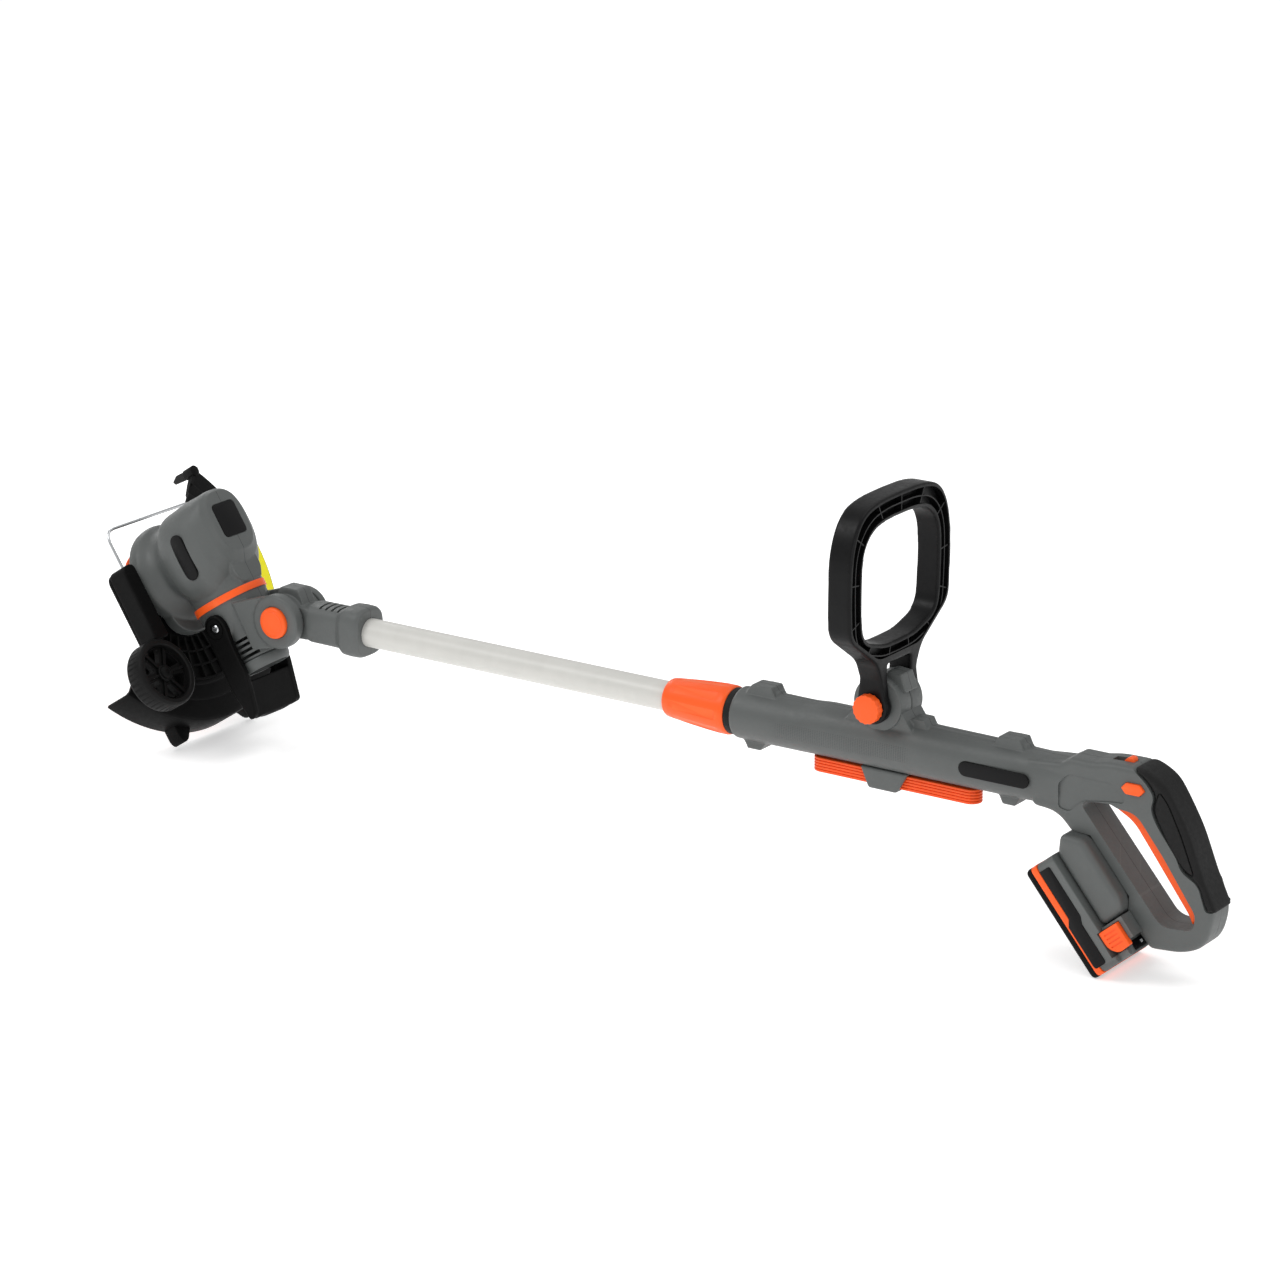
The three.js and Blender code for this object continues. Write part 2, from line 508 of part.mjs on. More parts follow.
const ear = (low, high, r = 24) => [
  turnedY(rod(r, low, high), TILT_PIVOT.x, TILT_PIVOT.z, 24),
  slabY(outline([[52, 78], [60, 112, 10], [70, 134, 6], [108, 108, 4], [96, 76]]), low, high),
];
const housingOuter = join(
  loftZ([
    { z: 2, rx: 43.5 }, { z: 4, rx: 45.5 }, { z: 14, rx: 45.5 }, { z: 21, rx: 39 },
    { z: 28, x: -1, rx: 35.5 }, { z: 33, x: -1, rx: 37, ry: 36, power: 2.2 },
    { z: 42, x: -1, rx: 43.5, ry: 39.5, power: 2.4 }, { z: 52, rx: 45.5, ry: 41, power: 2.5 },
    { z: 72, x: -1, rx: 45.5, ry: 40, power: 2.5 }, { z: 84, x: -6, rx: 40, ry: 35, power: 2.5 },
    { z: 93, x: -12, rx: 34, ry: 28.5, power: 2.6 }, { z: 98, x: -15, rx: 28, ry: 22, power: 2.8 },
  ], 24),
  loftX([
    { at: 0, z: BAND_Z, ry: 30, rz: 32, power: 2.2 }, { at: 30, z: BAND_Z, ry: 30, rz: 34, power: 2.2 },
    { at: 50, z: BAND_Z, ry: 27.5, rz: 34.5, power: 2.2 }, { at: 64, z: 58, ry: 24.5, rz: 33 },
    { at: 80, z: NECK_Z, ry: 22.5, rz: 29 }, { at: 92, z: NECK_Z, ry: 22, rz: 26 },
    { at: 103, z: NECK_Z, ry: 21.5, rz: 24.5 },
  ], 24),
  slabZ(outline([[0, -28, 4], [44, -28, 10], [54, -14, 8], [54, 14, 8], [44, 28, 10], [0, 28, 4]]),
    2, 13, { edge: 1.5 }),
  ...ear(-27, -15.3), ...ear(15.3, 23, 21.5),
  turnedY(rod(13, -27.3, -16), PEDAL_PIVOT.x, PEDAL_PIVOT.z, 18),
  turnedY(rod(13, 16, 27.3), PEDAL_PIVOT.x, PEDAL_PIVOT.z, 18),
);
const ventSlots = [84, 89, 94, 99].flatMap((x) => [box(x - 1.1, x + 1.1, -45, -12, 44, 76),
  box(x - 1.1, x + 1.1, 12, 45, 44, 76)]);
// Squarish ring round the neck; its inside is the neck's own section drawn in by `inset`.
const bandRing = (inset, from, to, ry, rz) => toSolid(loftX([
  { at: from, z: BAND_Z, ry, rz, power: 2.2 }, { at: to, z: BAND_Z, ry, rz, power: 2.2 }]))
  .subtract(toSolid(loftX([
    { at: from - 9, z: BAND_Z, ry: 28 + inset, rz: 33 + inset, power: 2.2 },
    { at: to + 9, z: BAND_Z, ry: 28 + inset, rz: 33 + inset, power: 2.2 }])));
const housing = cut(housingOuter,
  turnedZ([[0, 37], [30, 37], [34.5, 42], [34.5, 70], [28, 82], [20, 90], [0, 90]]),
  turnedZ([[0, 21], [30, 21], [30, 38], [0, 38]]),
  turnedZ([[0, -2], [4.4, -2], [4.4, 6.5], [11.3, 6.5], [11.3, 14.5], [4.4, 14.5], [4.4, 22], [0, 22]],
    0, 0, 24),
  turnedX(rod(19, 30, 110), 0, NECK_Z, 20),
  bandRing(GAP / 2, 41, 49, 46, 48),
  turnedY(rod(21.4, -15.3, 15.3), TILT_PIVOT.x, TILT_PIVOT.z, 24),
  box(70, 130, -15.3, 15.3, TILT_PIVOT.z - 17, 150),
  turnedY(rod(6.3, -40, 40), TILT_PIVOT.x, TILT_PIVOT.z, 16),
  turnedY(rod(14.3, -40, -22.5), TILT_PIVOT.x, TILT_PIVOT.z, 24),
  turnedY(rod(3.8, -40, 40), PEDAL_PIVOT.x, PEDAL_PIVOT.z, 12),
  slabY(stadium(43.2, 14.2, -1.5, 66), -60, -38.6, { curveSegments: 6 }),
  box(-32, 0, -15, 15, 97.2, 110),
  ...ventSlots);
addHalves('motor_housing', housing, GREY, inHead());
add('neck_band', bandRing(GAP, 41.3, 48.7, 30.6, 35.8), ORANGE, inHead());
add('head_badge', slabY(stadium(42.6, 13.6, -1.5, 66), -41, -38.9, { curveSegments: 6 }), BLACK, inHead());
add('rating_label', slabZ(outline([[-31.4, -14.4, 5], [-0.6, -14.4, 5], [-0.6, 14.4, 5],
  [-31.4, 14.4, 5]]), 97.5, 98.5), 0x2a2b2c, inHead());
add('vent_ring', turnedX([[17.5, 103.3], [23.5, 103.3], [22.5, 113], [19, 113]], 0, NECK_Z, 24), GREY,
  inHead());
add('motor', turnedZ([[3.4, 44], [25, 44], [25, 76], [18, 84], [3.4, 84]], 0, 0, 20), 0x9a9da0,
  inHead(STEEL));
add('spindle_bearing', turnedZ(pipe(4.2, 11, 6.8, 14.2), 0, 0, 16), 0xc0c3c6, inHead(STEEL));
add('tilt_pivot_pin', turnedY(rod(6, -22, 23.3), pivot.x, pivot.z, 16), 0xa0a4a8, STEEL);
add('pivot_button', turnedY([[0, -31], [12.8, -31], [13.9, -30], [13.9, -26], [0, -26]],
  TILT_PIVOT.x, TILT_PIVOT.z, 24), ORANGE, inHead());
add('pivot_cap', turnedY([[0, 23.6], [14, 23.6], [12.5, 26], [0, 26]], TILT_PIVOT.x, TILT_PIVOT.z, 24),
  GREY, inHead());

// Spinning parts.
const vanes = Array.from({ length: 8 }, (_, k) => box(6, 25, -0.8, 0.8, 24, 31)
  .rotateZ((2 * Math.PI * k) / 8));
add('motor_shaft', turnedZ([[0, -22], [3, -22], [3, 86], [0, 86]], 0, 0, 16), 0xc8ccd0, inHead(STEEL));
add('cooling_fan', join(turnedZ(pipe(3.3, 26, 23, 25), 0, 0, 20), turnedZ(pipe(3.3, 8, 24, 32), 0, 0, 12),
  ...vanes), BLACK, inHead());
add('cutting_disc', join(turnedZ([[3.3, -6], [9, -6], [11, -13], [36, -15], [36, -18], [12, -19],
  [9, -21], [3.3, -21]], 0, 0, 24), turnedZ(rod(3, -23.6, -16), 30, 0, 14)), ORANGE, inHead());
const bladeFace = outline([[23, -7, 7], [42, -8, 6], [121, -5, 3], [124, 4, 3], [50, 8, 8], [23, 7, 7]]);
bladeFace.holes.push(new THREE.Path().absarc(30, 0, 3.4, 0, 2 * Math.PI, true));
add('cutting_blade', slabZ(bladeFace, -22.2, -19.4, { curveSegments: 6 }), ORANGE, inHead());

// Guard: a stepped roof with a skirt over half the circle, and a plate under the motor.
const guardTurned = turnedZ([
  [9, -3], [9, 0], [99, 0], [101, -2], [113, -2], [115, -4], [131, -4], [133, -6], [GUARD_R, -10],
  [GUARD_R, -SKIRT_DEPTH], [131.2, -SKIRT_DEPTH], [131.2, -10], [129, -7], [113, -7], [99, -5],
  [96, -3],
], 0, 0, 48);
const sector = new THREE.Shape();
sector.moveTo(0, 0);
sector.lineTo(150 * Math.cos(rad(GUARD_FROM)), 150 * Math.sin(rad(GUARD_FROM)));
sector.absarc(0, 0, 150, rad(GUARD_FROM), rad(GUARD_TO));
sector.closePath();
const tab = (angle) => slabZ(outline(
  [[131.6, -10], [146, -5, 2], [149, 0, 2], [146, 5, 2], [131.6, 10]]), -SKIRT_DEPTH, -20)
  .rotateZ(rad(angle));
const hookEnd = slabY(outline([[116, 0], [133, 0], [137, -31, 2], [128, -33, 2]]), -1.5, 1.5)
  .rotateZ(rad(GUARD_TO - 0.7));
const taper = (angle, lean) => slabY(outline(
  [[100, -14], [160, -14], [160, -50], [100, -50]]), -3, 25).rotateX(rad(lean)).rotateZ(rad(angle));
const ribs = [-30, -20, -10, 0].map((a) => box(58, 92, -1, 1, -1, 1.6).rotateZ(rad(a)));
let guard = toSolid(guardTurned).intersect(toSolid(slabZ(sector, -60, 20, { curveSegments: 16 })));
guard = guard.subtract(toSolid(taper(GUARD_TO - 8, 0)));
guard = guard.add(cut(join(
  turnedZ(pipe(9, 44, -3, 0), 0, 0, 32),
  slabZ(outline([[-19, -67, 8], [60, -67, 3], [60, 10], [53, 68], [-18, 68, 8]]), -3, 0)),
turnedZ(rod(9, -10, 10), 0, 0, 24)));
guard = guard.add(join(tab(-20), tab(20), hookEnd,
  turnedZ(rod(5, -12, 0.6), 127 * Math.cos(rad(GUARD_TO)), 127 * Math.sin(rad(GUARD_TO)), 16), ...ribs));
add('guard', guard, BLACK, inHead());

const stickerFace = new THREE.Shape();
stickerFace.absarc(0, 0, 130.6, rad(62), rad(98));
stickerFace.absarc(0, 0, 116, rad(98), rad(62), true);
stickerFace.closePath();
add('guard_sticker', slabZ(stickerFace, -3.7, -3.2, { curveSegments: 10 }), 0xf6ee1c, inHead());

// Edging wheel on its arm, and the wire plant guard that slides in the arm and the far guide.
const WIRE = { r: 1.4, y: 60, z: 14 };
const wireBore = (y) => turnedX(rod(WIRE.r + GAP + 0.1, -40, 53.5), y, WIRE.z, 12);
const armTongue = outline([[40, -67, 2], [56, -68, 2], [72, -91, 9], [92, -90, 9], [92, -69, 9], [60, -52, 4],
  [40, -52, 2]]);
add('wheel_arm', cut(join(
  slabZ(outline([[-20, -67, 9], [51, -68], [51, -51], [-20, -51, 5]]), 0.3, 20, { edge: 2.5 }),
  slabZ(armTongue, 0.3, 6.9),
), wireBore(-WIRE.y), turnedZ(rod(4.3, -5, 9), WHEEL.x, WHEEL.y, 16)), BLACK, inHead());
add('plant_guard_guide', cut(join(slabZ(outline([[-18, 51], [52, 51], [52, 67], [-18, 67]]),
  0.3, 18, { edge: 1.5 })), wireBore(WIRE.y)), BLACK, inHead());
add('plant_guard_wire', bentRod([[50, -WIRE.y, WIRE.z], [10, -WIRE.y, WIRE.z], [-46, -WIRE.y, WIRE.z],
  [-52, -57, WIRE.z], [-55, -50, WIRE.z], [-55, 50, WIRE.z], [-52, 57, WIRE.z], [-46, WIRE.y, WIRE.z],
  [10, WIRE.y, WIRE.z], [50, WIRE.y, WIRE.z]], WIRE.r, 30, 6), 0xc9cdd0, inHead(STEEL));

const wheelFace = new THREE.Shape().absarc(0, 0, WHEEL.r - 4, 0, 2 * Math.PI);
const WINDOWS = 6;
for (let k = 0; k < WINDOWS; k += 1) {
  const a = (k / WINDOWS) * 2 * Math.PI;
  const span = rad(19);
  const hole = new THREE.Path();
  hole.absarc(0, 0, 23, a - span, a + span, false);
  hole.absarc(0, 0, 11, a + 0.6 * span, a - 0.6 * span, true);
  hole.closePath();
  wheelFace.holes.push(hole);
}
add('wheel', cut(join(
  turnedZ([[25, WHEEL.z0], [29.5, WHEEL.z0], [31, WHEEL.z0 + 2], [31, WHEEL.z1 - 2], [29.5, WHEEL.z1],
    [25, WHEEL.z1]], 0, 0, 32),
  slabZ(wheelFace, 15, 21, { curveSegments: 4 }),
  turnedZ(rod(8, WHEEL.z0, 24), 0, 0, 20)),
turnedZ(rod(4.3, 0, 40), 0, 0, 16)).translate([WHEEL.x, WHEEL.y, 0]), BLACK, inHead());
add('wheel_axle', turnedZ([[0, 0.5], [4, 0.5], [4, 24.3], [6.5, 24.3], [5, 26.6], [0, 27.4]],
  WHEEL.x, WHEEL.y, 16), BLACK, inHead());

// Foot pedal that frees the tilt.
const pedalArm = (low, high) => slabY(outline([[65, 40.5, 6], [53, 46, 8], [53, 60, 8], [65, 65.5, 6],
  [84, 62, 8], [112, 62, 3], [150, 50], [150, 42.5], [120, 38, 5]]), low, high, { edge: 1 });
const pedalPlate = slabZ(outline([[111, -29], [114, -22, 3], [118, -16, 4], [118, 16, 4], [114, 22, 3],
  [111, 29], [150, 29], [151, 20, 4], [151, -20, 4], [150, -29]]), 42.5, 47.5);
add('foot_pedal', cut(join(pedalArm(-33.6, -27.6), pedalArm(27.6, 33.6), pedalPlate),
  turnedY(rod(3.8, -60, 60), PEDAL_PIVOT.x, PEDAL_PIVOT.z, 12)), BLACK, inHead());
add('pedal_pin', turnedY(rod(3.5, -33.2, 33.2), PEDAL_PIVOT.x, PEDAL_PIVOT.z, 12), 0x9da1a4,
  inHead(STEEL));

// ---- set the tool on the floor, centred on its box -------------------------------------------------
const tip = new THREE.Matrix4().makeRotationY(rad(-REST_TILT));
trimmer.children.forEach((mesh) => mesh.geometry.applyMatrix4(tip));
const bounds = new THREE.Box3().setFromObject(trimmer);
const centre = bounds.getCenter(new THREE.Vector3());
trimmer.children.forEach((mesh) => mesh.geometry.translate(-centre.x, -centre.y, -bounds.min.z));
trimmer.userData.shift = [-centre.x, -centre.y, -bounds.min.z];

export default trimmer;
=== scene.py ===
import bmesh
import bpy
import math
from mathutils import Matrix, Vector


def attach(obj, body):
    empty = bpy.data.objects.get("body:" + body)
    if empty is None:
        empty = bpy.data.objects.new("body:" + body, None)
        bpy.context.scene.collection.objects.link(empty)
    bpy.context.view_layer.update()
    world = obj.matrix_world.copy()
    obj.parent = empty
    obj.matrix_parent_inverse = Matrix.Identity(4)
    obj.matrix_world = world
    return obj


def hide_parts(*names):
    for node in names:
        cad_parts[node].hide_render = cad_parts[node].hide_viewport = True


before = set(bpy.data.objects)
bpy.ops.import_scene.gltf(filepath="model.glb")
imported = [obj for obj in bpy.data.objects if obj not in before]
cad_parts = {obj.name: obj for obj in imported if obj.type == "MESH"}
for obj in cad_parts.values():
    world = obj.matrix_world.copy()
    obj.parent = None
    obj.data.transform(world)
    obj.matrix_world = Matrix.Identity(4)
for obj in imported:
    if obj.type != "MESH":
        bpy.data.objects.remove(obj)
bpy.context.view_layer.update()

# ---- frames, in millimetres: the pole, the battery strut and the motor head ---------------------
SHIFT = (20.3511, -11.5, 134.139)
REST_TILT = -1.0
STRUT_ANGLE = 50.2
HEAD_ANGLE = 57
HEAD_CENTRE = (-507.8, 0, 10.3)


def about_y(degrees):
    return Matrix.Rotation(math.radians(degrees), 4, 'Y')


POLE = Matrix.Scale(0.001, 4) @ Matrix.Translation(SHIFT) @ about_y(REST_TILT)
STRUT = POLE @ about_y(STRUT_ANGLE)
HEAD = POLE @ Matrix.Translation(HEAD_CENTRE) @ about_y(HEAD_ANGLE)

NECK_Z = 60
BAND_Z = 57
TILT_PIVOT = (86, 115)
PEDAL_PIVOT = (65, 53)
LOOP_PIVOT = (239, 37)
WHEEL = (81, -80)
HALF_GRIP = 16.5
PIVOT = Matrix.Translation(HEAD_CENTRE) @ about_y(HEAD_ANGLE) @ Vector(
    (TILT_PIVOT[0], 0, TILT_PIVOT[1]))


# ---- shapes: each is a (points, faces) pair of one closed skin ----------------------------------
def outline(corners, steps=6):
    """Outline with rounded corners; each corner is (x, y) or (x, y, radius)."""
    points = []
    count = len(corners)
    for i, corner in enumerate(corners):
        here = Vector(corner[:2])
        radius = corner[2] if len(corner) > 2 else 0
        if not radius:
            points.append(here)
            continue
        before = Vector(corners[i - 1][:2])
        after = Vector(corners[(i + 1) % count][:2])
        start = here + (before - here).normalized() * min(radius, (before - here).length / 2)
        end = here + (after - here).normalized() * min(radius, (after - here).length / 2)
        for k in range(steps + 1):
            t = k / steps
            points.append((1 - t) ** 2 * start + 2 * t * (1 - t) * here + t * t * end)
    kept = [p for i, p in enumerate(points) if (p - points[i - 1]).length > 1e-4]
    area = sum(a.x * b.y - b.x * a.y for a, b in zip(kept, kept[1:] + kept[:1]))
    return kept if area > 0 else kept[::-1]


def mirrored(half):
    other = [(-c[0],) + tuple(c[1:]) for c in half if c[0] > 0]
    return list(half) + other[::-1]


def stadium(length, width, x=0, y=0, steps=12):
    half = (length - width) / 2
    ends = [(half, -math.pi / 2), (-half, math.pi / 2)]
    return [Vector((x + side + width / 2 * math.cos(a + math.pi * k / steps),
                    y + width / 2 * math.sin(a + math.pi * k / steps)))
            for side, a in ends for k in range(steps + 1)]


def offset(points, distance):
    """The outline grown by a distance (shrunk if it is negative)."""
    moved = []
    for i, here in enumerate(points):
        a = (here - points[i - 1]).normalized()
        b = (points[(i + 1) % len(points)] - here).normalized()
        normal = Vector((a.y + b.y, -a.x - b.x))
        if normal.length < 1e-6:
            continue
        normal.normalize()
        spread = max(0.5, normal.dot(Vector((a.y, -a.x))))
        moved.append(here + normal * distance / spread)
    return moved


PLANES = {
    'Z': lambda u, v, t: (u, v, t),
    'Y': lambda u, v, t: (u, t, v),
    'X': lambda u, v, t: (t, u, v),
}


def prism(points, low, high, plane):
    place = PLANES[plane]
    count = len(points)
    skin = [place(p[0], p[1], low) for p in points] + [place(p[0], p[1], high) for p in points]
    faces = [tuple(range(count)), tuple(range(2 * count - 1, count - 1, -1))]
    faces += [(k, k + count, (k + 1) % count + count, (k + 1) % count) for k in range(count)]
    return skin, faces


def block(x0, x1, y0, y1, z0, z1):
    return prism([Vector(p) for p in ((x0, y0), (x1, y0), (x1, y1), (x0, y1))], z0, z1, 'Z')


def lathe(profile, axis='Z', centre=(0, 0), segments=96, start=0, end=360):
    """A closed profile of (radius, position) turned about an axis, all round or part way."""
    whole = end - start >= 360
    rings = segments if whole else segments + 1
    points = []
    for k in range(rings):
        a = math.radians(start + (end - start) * k / segments)
        for r, h in profile:
            u, v = r * math.cos(a), r * math.sin(a)
            if axis == 'Z':
                points.append((centre[0] + u, centre[1] + v, h))
            elif axis == 'Y':
                points.append((centre[0] + v, h, centre[1] + u))
            else:
                points.append((h, centre[0] + u, centre[1] + v))
    size = len(profile)
    faces = []
    for k in range(segments):
        for i in range(size):
            a = k * size + i
            b = k * size + (i + 1) % size
            c = ((k + 1) % rings) * size + (i + 1) % size
            d = ((k + 1) % rings) * size + i
            faces.append((a, b, c, d))
    if not whole:
        faces += [tuple(range(size)), tuple(range((rings - 1) * size, rings * size))[::-1]]
    return points, faces


def rod(r, low, high):
    return [(0, low), (r, low), (r, high), (0, high)]


def pipe(inner, outer, low, high):
    return [(inner, low), (outer, low), (outer, high), (inner, high)]


def soft_pipe(inner, outer, low, high, soft):
    """A pipe's profile with its outer edges rounded."""
    arc = [(soft * math.sin(math.pi / 2 * k / 5), soft * (1 - math.cos(math.pi / 2 * k / 5)))
           for k in range(6)]
    lower = [(outer - soft + a, low + b) for a, b in arc]
    upper = [(outer - soft + a, high - b) for a, b in arc[::-1]]
    return [(inner, low)] + lower + upper + [(inner, high)]


def loft(rings, axis, segments=96, curve=4):
    """Skin through squarish rings: (position, centre, ry, rx, power), eased between rings."""
    def smooth(a, b, c, d, t):
        return 0.5 * (2 * b + (c - a) * t + (2 * a - 5 * b + 4 * c - d) * t * t
                      + (3 * b - a - 3 * c + d) * t ** 3)
    dense = []
    for i in range(len(rings) - 1):
        quad = [rings[max(0, i - 1)], rings[i], rings[i + 1], rings[min(len(rings) - 1, i + 2)]]
        for k in range(curve):
            t = k / curve
            eased = [smooth(*(q[j] for q in quad), t) for j in range(1, 5)]
            dense.append([rings[i][0] + (rings[i + 1][0] - rings[i][0]) * t] + eased)
    dense.append(list(rings[-1]))
    points = []
    for at, centre, ry, rx, power in dense:
        for k in range(segments):
            a = 2 * math.pi * k / segments
            u = math.copysign(abs(math.cos(a)) ** (2 / power), math.cos(a))
            v = math.copysign(abs(math.sin(a)) ** (2 / power), math.sin(a))
            if axis == 'Z':
                points.append((centre + rx * u, ry * v, at))
            else:
                points.append((at, ry * v, centre + rx * u))
    faces = []
    for ring in range(len(dense) - 1):
        for k in range(segments):
            a = ring * segments + k
            b = ring * segments + (k + 1) % segments
            faces.append((a, b, b + segments, a + segments))
    last = (len(dense) - 1) * segments
    faces += [tuple(range(segments))[::-1], tuple(range(last, last + segments))]
    return points, faces


def turned_about(part, angle, axis='Z'):
    turn = Matrix.Rotation(math.radians(angle), 3, axis)
    return [turn @ Vector(p) for p in part[0]], part[1]


def moved(part, x=0, y=0, z=0):
    return [Vector(p) + Vector((x, y, z)) for p in part[0]], part[1]


# ---- from shapes to Blender objects -------------------------------------------------------------
def skin_object(name, parts, place):
    mesh = bpy.data.meshes.new(name)
    bm = bmesh.new()
    for points, faces in parts:
        made = [bm.verts.new(place @ Vector(p)) for p in points]
        for face in faces:
            try:
                bm.faces.new([made[i] for i in face])
            except ValueError:
                continue
    bmesh.ops.remove_doubles(bm, verts=bm.verts, dist=2e-6)
    bmesh.ops.dissolve_degenerate(bm, edges=bm.edges, dist=1e-6)
    bmesh.ops.recalc_face_normals(bm, faces=bm.faces)
    bm.to_mesh(mesh)
    bm.free()
    obj = bpy.data.objects.new(name, mesh)
    bpy.context.scene.collection.objects.link(obj)
    return obj


def apply_all(obj):
    """The modifiers become the mesh."""
    graph = bpy.context.evaluated_depsgraph_get()
    graph.update()
    mesh = bpy.data.meshes.new_from_object(obj.evaluated_get(graph))
    obj.modifiers.clear()
    old = obj.data
    obj.data = mesh
    bpy.data.meshes.remove(old)
    return obj


def round_edges(obj, width, segments=3, angle=35, clamp=True):
    bevel = obj.modifiers.new('edges', 'BEVEL')
    bevel.width = width / 1000
    bevel.segments = segments
    bevel.limit_method = 'ANGLE'
    bevel.angle_limit = math.radians(angle)
    bevel.use_clamp_overlap = clamp
    return apply_all(obj)


def boolean(obj, parts, place, operation='DIFFERENCE'):
    for part in parts:
        tool = skin_object('tool', [part], place)
        bm = bmesh.new()
        bm.from_mesh(tool.data)
        bmesh.ops.triangulate(bm, faces=bm.faces)
        bm.to_mesh(tool.data)
        bm.free()
        step = obj.modifiers.new('cut', 'BOOLEAN')
        step.operation = operation
        step.solver = 'MANIFOLD'
        step.object = tool
        apply_all(obj)
        bpy.data.objects.remove(tool)
    return obj


def melted(name, parts, place, voxel=0.9, smooth=6, round_width=0):
    """Shapes fused into one moulding, with soft fillets where they meet."""
    obj = skin_object(name, parts[:1], place)
    if round_width:
        round_edges(obj, round_width, 4, clamp=False)
    for part in parts[1:]:
        extra = skin_object('extra', [part], place)
        bm = bmesh.new()
        bm.from_mesh(obj.data)
        bm.from_mesh(extra.data)
        bm.to_mesh(obj.data)
        bm.free()
        bpy.data.objects.remove(extra)
    remesh = obj.modifiers.new('melt', 'REMESH')
    remesh.mode = 'VOXEL'
    remesh.voxel_size = voxel / 1000
    relax = obj.modifiers.new('relax', 'SMOOTH')
    relax.factor = 0.5
    relax.iterations = smooth
    return apply_all(obj)


def finish_piece(obj, material, body, slot, *nodes, angle=40):
    obj.data.materials.clear()
    obj.data.materials.append(material)
    obj.data.shade_smooth()
    obj.data.set_sharp_from_angle(angle=math.radians(angle))
    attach(obj, body)
    if nodes:
        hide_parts(*nodes)
    return obj


# ---- materials ----------------------------------------------------------------------------------
class Nodes:
    """A material's node tree, with short calls to add and link nodes."""

    def __init__(self, name):
        self.material = bpy.data.materials.new(name)
        self.material.use_nodes = True
        self.tree = self.material.node_tree
        self.shader = self.tree.nodes['Principled BSDF']
        self.place = self.add('ShaderNodeTexCoord').outputs['Object']

    def add(self, kind, **values):
        node = self.tree.nodes.new(kind)
        for key, value in values.items():
            setattr(node, key, value)
        return node

    def link(self, source, target):
        self.tree.links.new(source, target)

    def noise(self, scale, detail=3, roughness=0.5, vector=None):
        node = self.add('ShaderNodeTexNoise')
        node.inputs['Scale'].default_value = scale
        node.inputs['Detail'].default_value = detail
        node.inputs['Roughness'].default_value = roughness
        self.link(vector or self.place, node.inputs['Vector'])
        return node.outputs['Fac']

    def math(self, operation, a, b=0.0, clamp=False):
        node = self.add('ShaderNodeMath', operation=operation, use_clamp=clamp)
        for socket, value in zip(node.inputs, (a, b)):
            if isinstance(value, (int, float)):
                socket.default_value = value
            else:
                self.link(value, socket)
        return node.outputs[0]

    def span(self, value, low, high, to_low, to_high):
        node = self.add('ShaderNodeMapRange')
        self.link(value, node.inputs['Value'])
        for key, number in (('From Min', low), ('From Max', high),
                            ('To Min', to_low), ('To Max', to_high)):
            node.inputs[key].default_value = number
        return node.outputs['Result']

    def mix(self, factor, a, b):
        node = self.add('ShaderNodeMix', data_type='RGBA')
        if isinstance(factor, (int, float)):
            node.inputs[0].default_value = factor
        else:
            self.link(factor, node.inputs[0])
        for socket, value in ((node.inputs[6], a), (node.inputs[7], b)):
            if isinstance(value, tuple):
                socket.default_value = value
            else:
                self.link(value, socket)
        return node.outputs[2]

    def axis(self, name, vector=None):
        node = self.add('ShaderNodeSeparateXYZ')
        self.link(vector or self.place, node.inputs[0])
        return node.outputs[name]

    def bump(self, height, strength, distance=0.0002):
        node = self.add('ShaderNodeBump')
        node.inputs['Strength'].default_value = strength
        node.inputs['Distance'].default_value = distance
        self.link(height, node.inputs['Height'])
        self.link(node.outputs['Normal'], self.shader.inputs['Normal'])


def rgb(code, gain=1.0):
    """A hex colour as the linear values that Blender's sockets take."""
    values = [int(code[k:k + 2], 16) / 255 for k in (0, 2, 4)]
    linear = [v / 12.92 if v <= 0.04045 else ((v + 0.055) / 1.055) ** 2.4 for v in values]
    return tuple(v * gain for v in linear) + (1.0,)


def moulded(name, colour, rough, grain=0.35, grain_size=2600, speck=0.06, specular=0.5,
            seam=False, coat=0.0):
    """Moulded plastic: fine spark-eroded grain, faint mottling, and convex edges lightened as a painted
    highlight.
    """
    n = Nodes(name)
    base = rgb(colour)
    dark = tuple(c * (1 - 2 * speck) for c in base[:3]) + (1.0,)
    light = tuple(min(1, c * (1 + 2 * speck) + 0.004) for c in base[:3]) + (1.0,)
    tone = n.mix(n.noise(38, 4), dark, light)
    # Convex edges (high pointiness) are lightened here: a painted highlight along the edges.
    edge_highlight = tuple(min(1, c * 1.35 + 0.012) for c in base[:3]) + (1.0,)
    edge = n.add('ShaderNodeNewGeometry').outputs['Pointiness']
    tone = n.mix(n.span(edge, 0.52, 0.62, 0.0, 0.45), tone, edge_highlight)
    height = n.noise(grain_size, 2)
    if seam:
        away = n.math('ABSOLUTE', n.math('SUBTRACT', n.axis('Y'), SHIFT[1] / 1000))
        line = n.span(away, 0.00012, 0.00038, 1.0, 0.0)
        tone = n.mix(n.math('MULTIPLY', line, 0.8), tone, (0.004, 0.004, 0.004, 1))
        height = n.math('SUBTRACT', height, n.math('MULTIPLY', line, 2.0))
    n.link(tone, n.shader.inputs['Base Color'])
    n.link(n.span(n.noise(300, 3), 0.3, 0.7, rough - 0.06, rough + 0.06),
           n.shader.inputs['Roughness'])
    n.shader.inputs['Specular IOR Level'].default_value = specular
    n.shader.inputs['Coat Weight'].default_value = coat
    n.shader.inputs['Coat Roughness'].default_value = 0.25
    n.bump(height, grain)
    return n


